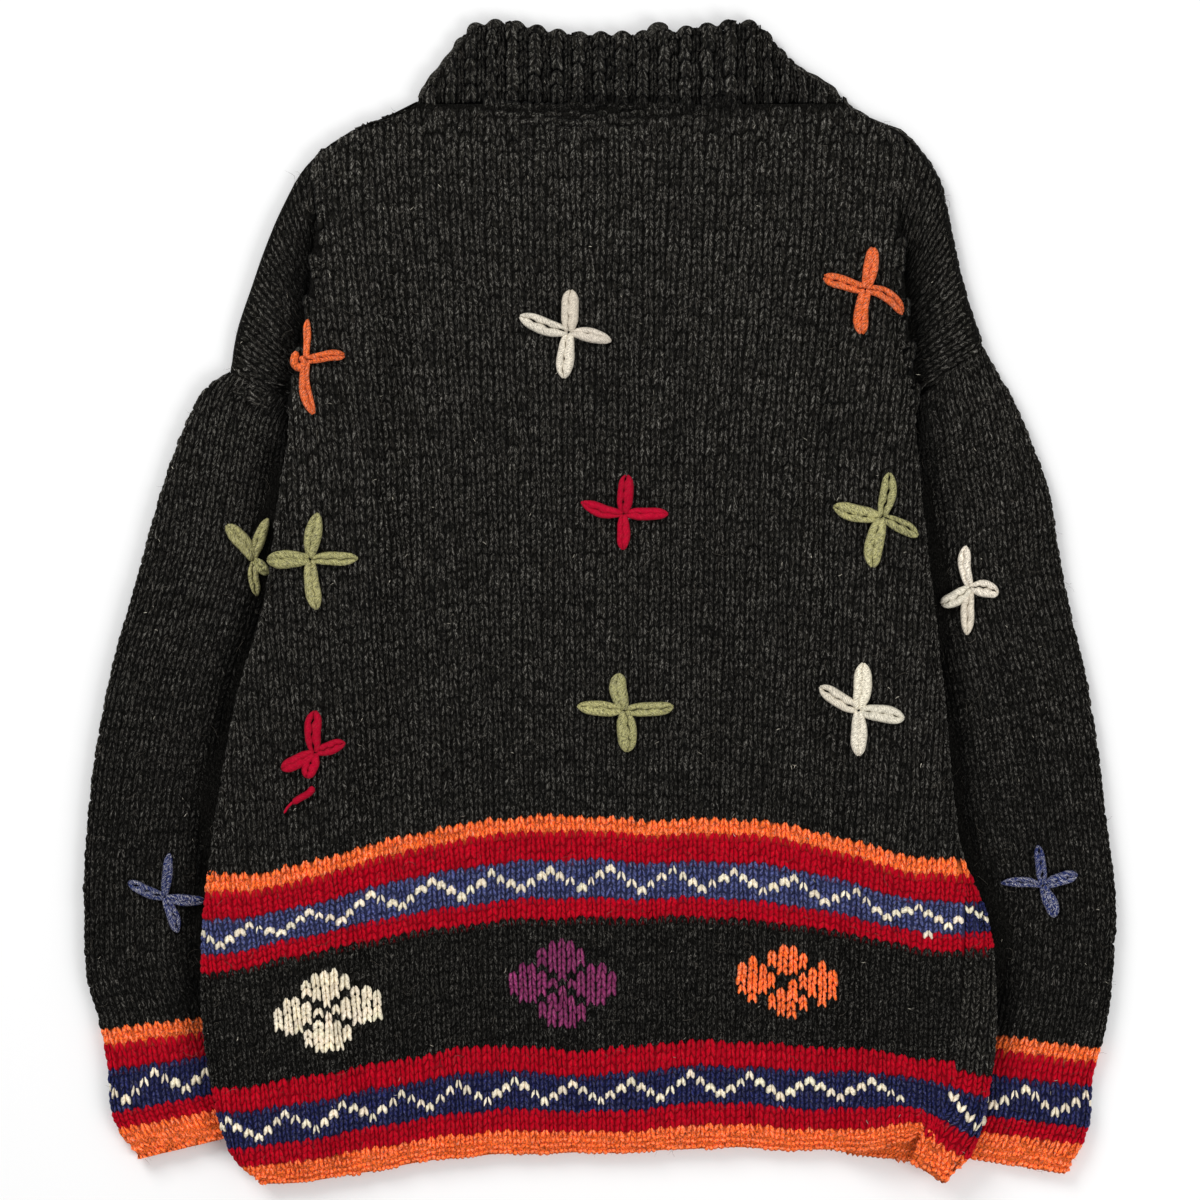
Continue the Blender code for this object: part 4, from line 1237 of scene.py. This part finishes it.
def petalPaths(centre, tip, width, bow, yarn, bridges):
    s = np.linspace(0.03, 1.0, petalShape["rings"])
    way = np.array(tip) - centre
    length = np.hypot(*way)
    way = way / length
    aside = np.array([-way[1], way[0]])
    # each petal ends more or less bluntly, and those of the thinner yarn always do
    blunt = 1.0 if yarn == "tangerine" else rng.uniform(*petalShape["blunt"])
    widths = (1 - blunt) * np.array(petalShape["widths"]) + blunt * np.array(petalShape["bluntWidths"])
    shape = np.interp(s, petalShape["stations"], widths)
    half = width / 2 * shape
    twist = petalShape["blueTwist"] if yarn == "blue" else petalShape["twist"]
    puff = np.interp(s, [0, 0.12, 0.5, 0.9, 1.0], [-0.6, 0.3, 0.9, 0.2, -0.9])
    tone = heathered(np.array([yarnIndex[yarn]]))[0]
    # some petals show the slit between their two strands and some hardly do
    strand = rng.uniform(*petalShape["strand"])
    lean = rng.uniform(-petalShape["lean"], petalShape["lean"])
    made = []
    for hand in (-1, 1):
        wander = 0.25 * np.sin(s * 9 + rng.uniform(0, 6)) * shape
        wide = np.maximum(half * (strand + hand * lean), 0.8)
        wide = wide * (1 + twist * np.sin(s * 21 + rng.uniform(0, 6)))
        offset = bow * np.sin(math.pi * s) + hand * (half - np.minimum(wide, half)) + wander
        plan = np.array(centre) + np.outer(s * length, way) + np.outer(offset, aside)
        high = np.minimum(wide, petalShape["mostHigh"])
        z = np.convolve(np.pad(underStrand(plan, bridges), 2, mode="edge"), np.ones(5) / 5, mode="valid")
        made.append((np.column_stack([plan, z + petalShape["lift"] + puff + 0.25 * high]), wide, high, tone))
    return made


def tapered(rings, last):
    # a loose end of yarn narrows over its first two rings and its last few
    return np.interp(np.arange(rings), [0, 2, rings - last, rings - 1], [0.5, 1, 0.9, 0.4])


def loosePath(points, half, yarn):
    line = smoothLine(points, 6)
    z = underStrand(line)
    z = np.maximum(z, z.max() - 2.5) + petalShape["lift"] + 0.5
    size = half * tapered(len(line), 3)
    return np.column_stack([line, z]), size, size, heathered(np.array([yarnIndex[yarn]]))[0]


for node, name in (("back", "back"), ("sleeve_left", "sleeveLeft"), ("sleeve_right", "sleeveRight")):
    paths = []
    for where, yarn, centre, petals in crosses:
        if where != node:
            continue
        for tipX, tipY, width, bow in petals:
            paths += petalPaths(centre, (tipX, tipY), width, bow, yarn, node == "back")
    if node == "back":
        paths += [loosePath(*end) for end in looseEnds]
    strandPiece(name + "Embroidery", node, paths)
print("crosses embroidered")

# loose fibres
fuzz = {
    "curls": 1700,  # fine ones that lie on the cloth
    "specks": 150,  # short thick pale ones
    "halo": 1100,  # short ones that stand out past the cloth's edges
    "curlLength": (4.0, 17.0),
    "speckLength": (1.5, 4.5),
    "haloLength": (3.5, 7.5),
    "half": 0.08,  # half width of a fine one, and of a speck
    "speckHalf": (0.14, 0.3),
    "reach": 4.5,  # how near the edge those of the halo start
    "across": (-336, 336),  # where they may lie, across and from the hem to the collar's top
    "upwards": (-372, 377),
}


def onCloth(count):
    spots = [rng.uniform(*fuzz[way], count * 2) for way in ("across", "upwards")]
    spots = np.column_stack(spots)
    return spots[clothHeight(spots, -1.0) > 0][:count]


def hairPath(centre, heading, length, half, colour, lift):
    steps = len(heading)
    plan = centre + np.cumsum(np.column_stack([np.cos(heading), np.sin(heading)]) * length / steps, axis=0)
    z = clothHeight(plan, -1.0)
    # past the cloth's edge it stays as high as it was
    z = np.where(z < 0, max(z[0] - 3.0, 2.0), z + lift)
    taper = half * np.interp(np.arange(steps), [0, 1, steps - 1], [0.5, 1, 0.4])
    return np.column_stack([plan, z]), taper, taper, colour


def hairPaths():
    made = []
    hair, pale = (yarnTable[yarnIndex[name]] for name in ("hair", "paleHair"))
    for centre in onCloth(fuzz["curls"]):
        heading = rng.uniform(0, 2 * math.pi) + np.cumsum(rng.normal(0, 0.3) + rng.normal(0, 0.3, 7))
        length = rng.uniform(*fuzz["curlLength"]) * rng.uniform(0.4, 1.0)
        made.append(hairPath(centre, heading, length, fuzz["half"] * rng.uniform(0.8, 1.5),
                             hair * rng.uniform(0.5, 1.6), 2.0 + abs(rng.normal(0, 0.3))))
    for centre in onCloth(fuzz["specks"]):
        heading = rng.uniform(0, 2 * math.pi) + 0.15 * np.arange(4)
        length, half = rng.uniform(*fuzz["speckLength"]), rng.uniform(*fuzz["speckHalf"])
        made.append(hairPath(centre, heading, length, half, pale * rng.uniform(0.4, 1.2), 2.1))
    centres = onCloth(12 * fuzz["halo"])
    aim = rng.uniform(0, 2 * math.pi, len(centres))
    past = centres + fuzz["reach"] * np.column_stack([np.cos(aim), np.sin(aim)])
    outside = clothHeight(past, -1.0) < 0
    for centre, way in list(zip(centres[outside], aim[outside]))[: fuzz["halo"]]:
        heading = way + np.cumsum(rng.normal(0, 0.35, 5))
        length = rng.uniform(*fuzz["haloLength"])
        made.append(hairPath(centre, heading, length, fuzz["half"], hair * rng.uniform(0.4, 1.0), 1.0))
    return made


strandPiece("looseFibres", "back", hairPaths(), 3)
print("loose fibres laid")


# the collar's bound-off edge
def boundEdge():
    # up one side of the collar, along its top and down the other, and it swells over each rib
    top = [(x, y - 3.0 - 0.6 * (x > 50)) for x, y in collar["top"] if -72 < x < 90]
    line = smoothLine(collar["edgeUp"] + top + collar["edgeDown"], 14)
    run = lengthAlong(line)
    swell = np.sin(2 * math.pi * run / collar["swell"] + 0.6)
    out = np.column_stack([-np.gradient(line[:, 1]), np.gradient(line[:, 0])])
    out /= np.linalg.norm(out, axis=1, keepdims=True)
    # least down the sides
    much = smoothStep(355, 368, line[:, 1])
    line = line + ((0.1 + 1.0 * much) * swell)[:, None] * out
    halfWide, halfHigh = collar["edgeSize"]
    wide = halfWide + (0.2 + 0.4 * much) * swell
    wide = wide * np.interp(run, [0, 6, run[-1] - 6, run[-1]], [0.5, 1, 1, 0.5])
    tone = heathered(np.array([charcoal]))[0]
    knob = smoothLine(collar["knob"], 4)
    size = collar["knobHalf"] * tapered(len(knob), 4)
    edge = np.column_stack([line, collar["edgeHeight"] + 0.3 * swell])
    knob = np.column_stack([knob, np.full(len(knob), collar["knobHeight"])])
    return [(edge, wide, halfHigh + 0.5 * swell, tone), (knob, size, size, tone)]


strandPiece("collarEdge", "collar", boundEdge())

# stage
stage = {
    "floorHalf": 3.0,  # metres, as the stage's other sizes are, apart from the lens and sensor
    "floorDrop": 0.0006,
    # where each softbox stands, and its watts
    "lights": {"keySoftbox": ((-1.5, 1.7, 1.8), 46.0), "fillSoftbox": ((1.7, -1.1, 1.8), 28.0)},
    "softboxSize": 1.4,
    "sky": 0.53,
    "lens": 115.0,
    "sensor": 36.0,
    "frameWidth": 0.780,  # what the camera sees across
    "aimHeight": 0.012,
}


def buildFloor():
    mesh = bpy.data.meshes.new("floor")
    size = stage["floorHalf"]
    corners = [(-size, -size, 0), (size, -size, 0), (size, size, 0), (-size, size, 0)]
    mesh.from_pydata(corners, [], [(0, 1, 2, 3)])
    floor = bpy.data.objects.new("floor", mesh)
    floor.location.z = -stage["floorDrop"]
    bpy.context.scene.collection.objects.link(floor)
    paper = {"Base Color": (0.96, 0.96, 0.96, 1.0), "Roughness": 0.9, "Specular IOR Level": 0.1}
    mesh.materials.append(newMaterial("white paper, matt", paper)[0])


def buildLights():
    for name, (place, power) in stage["lights"].items():
        light = bpy.data.lights.new(name, "AREA")
        light.energy = power
        light.size = stage["softboxSize"]
        lamp = bpy.data.objects.new(name, light)
        lamp.location = place
        lamp.rotation_mode = "QUATERNION"
        lamp.rotation_quaternion = (-Vector(place)).to_track_quat("-Z", "Y")
        bpy.context.scene.collection.objects.link(lamp)
    world = bpy.data.worlds.new("studio")
    world.use_nodes = True
    world.node_tree.nodes["Background"].inputs["Color"].default_value = (1.0, 1.0, 1.0, 1.0)
    world.node_tree.nodes["Background"].inputs["Strength"].default_value = stage["sky"]
    bpy.context.scene.world = world


def buildCamera():
    data = bpy.data.cameras.new("camera")
    data.sensor_width = stage["sensor"]
    data.lens = stage["lens"]
    data.clip_end = 20.0
    camera = bpy.data.objects.new("camera", data)
    camera.location = (0.0, 0.0, stage["aimHeight"] + stage["frameWidth"] * stage["lens"] / stage["sensor"])
    bpy.context.scene.collection.objects.link(camera)
    bpy.context.scene.camera = camera


buildFloor()
buildLights()
buildCamera()
bpy.context.scene.view_settings.view_transform = "Standard"
print("stage ready")
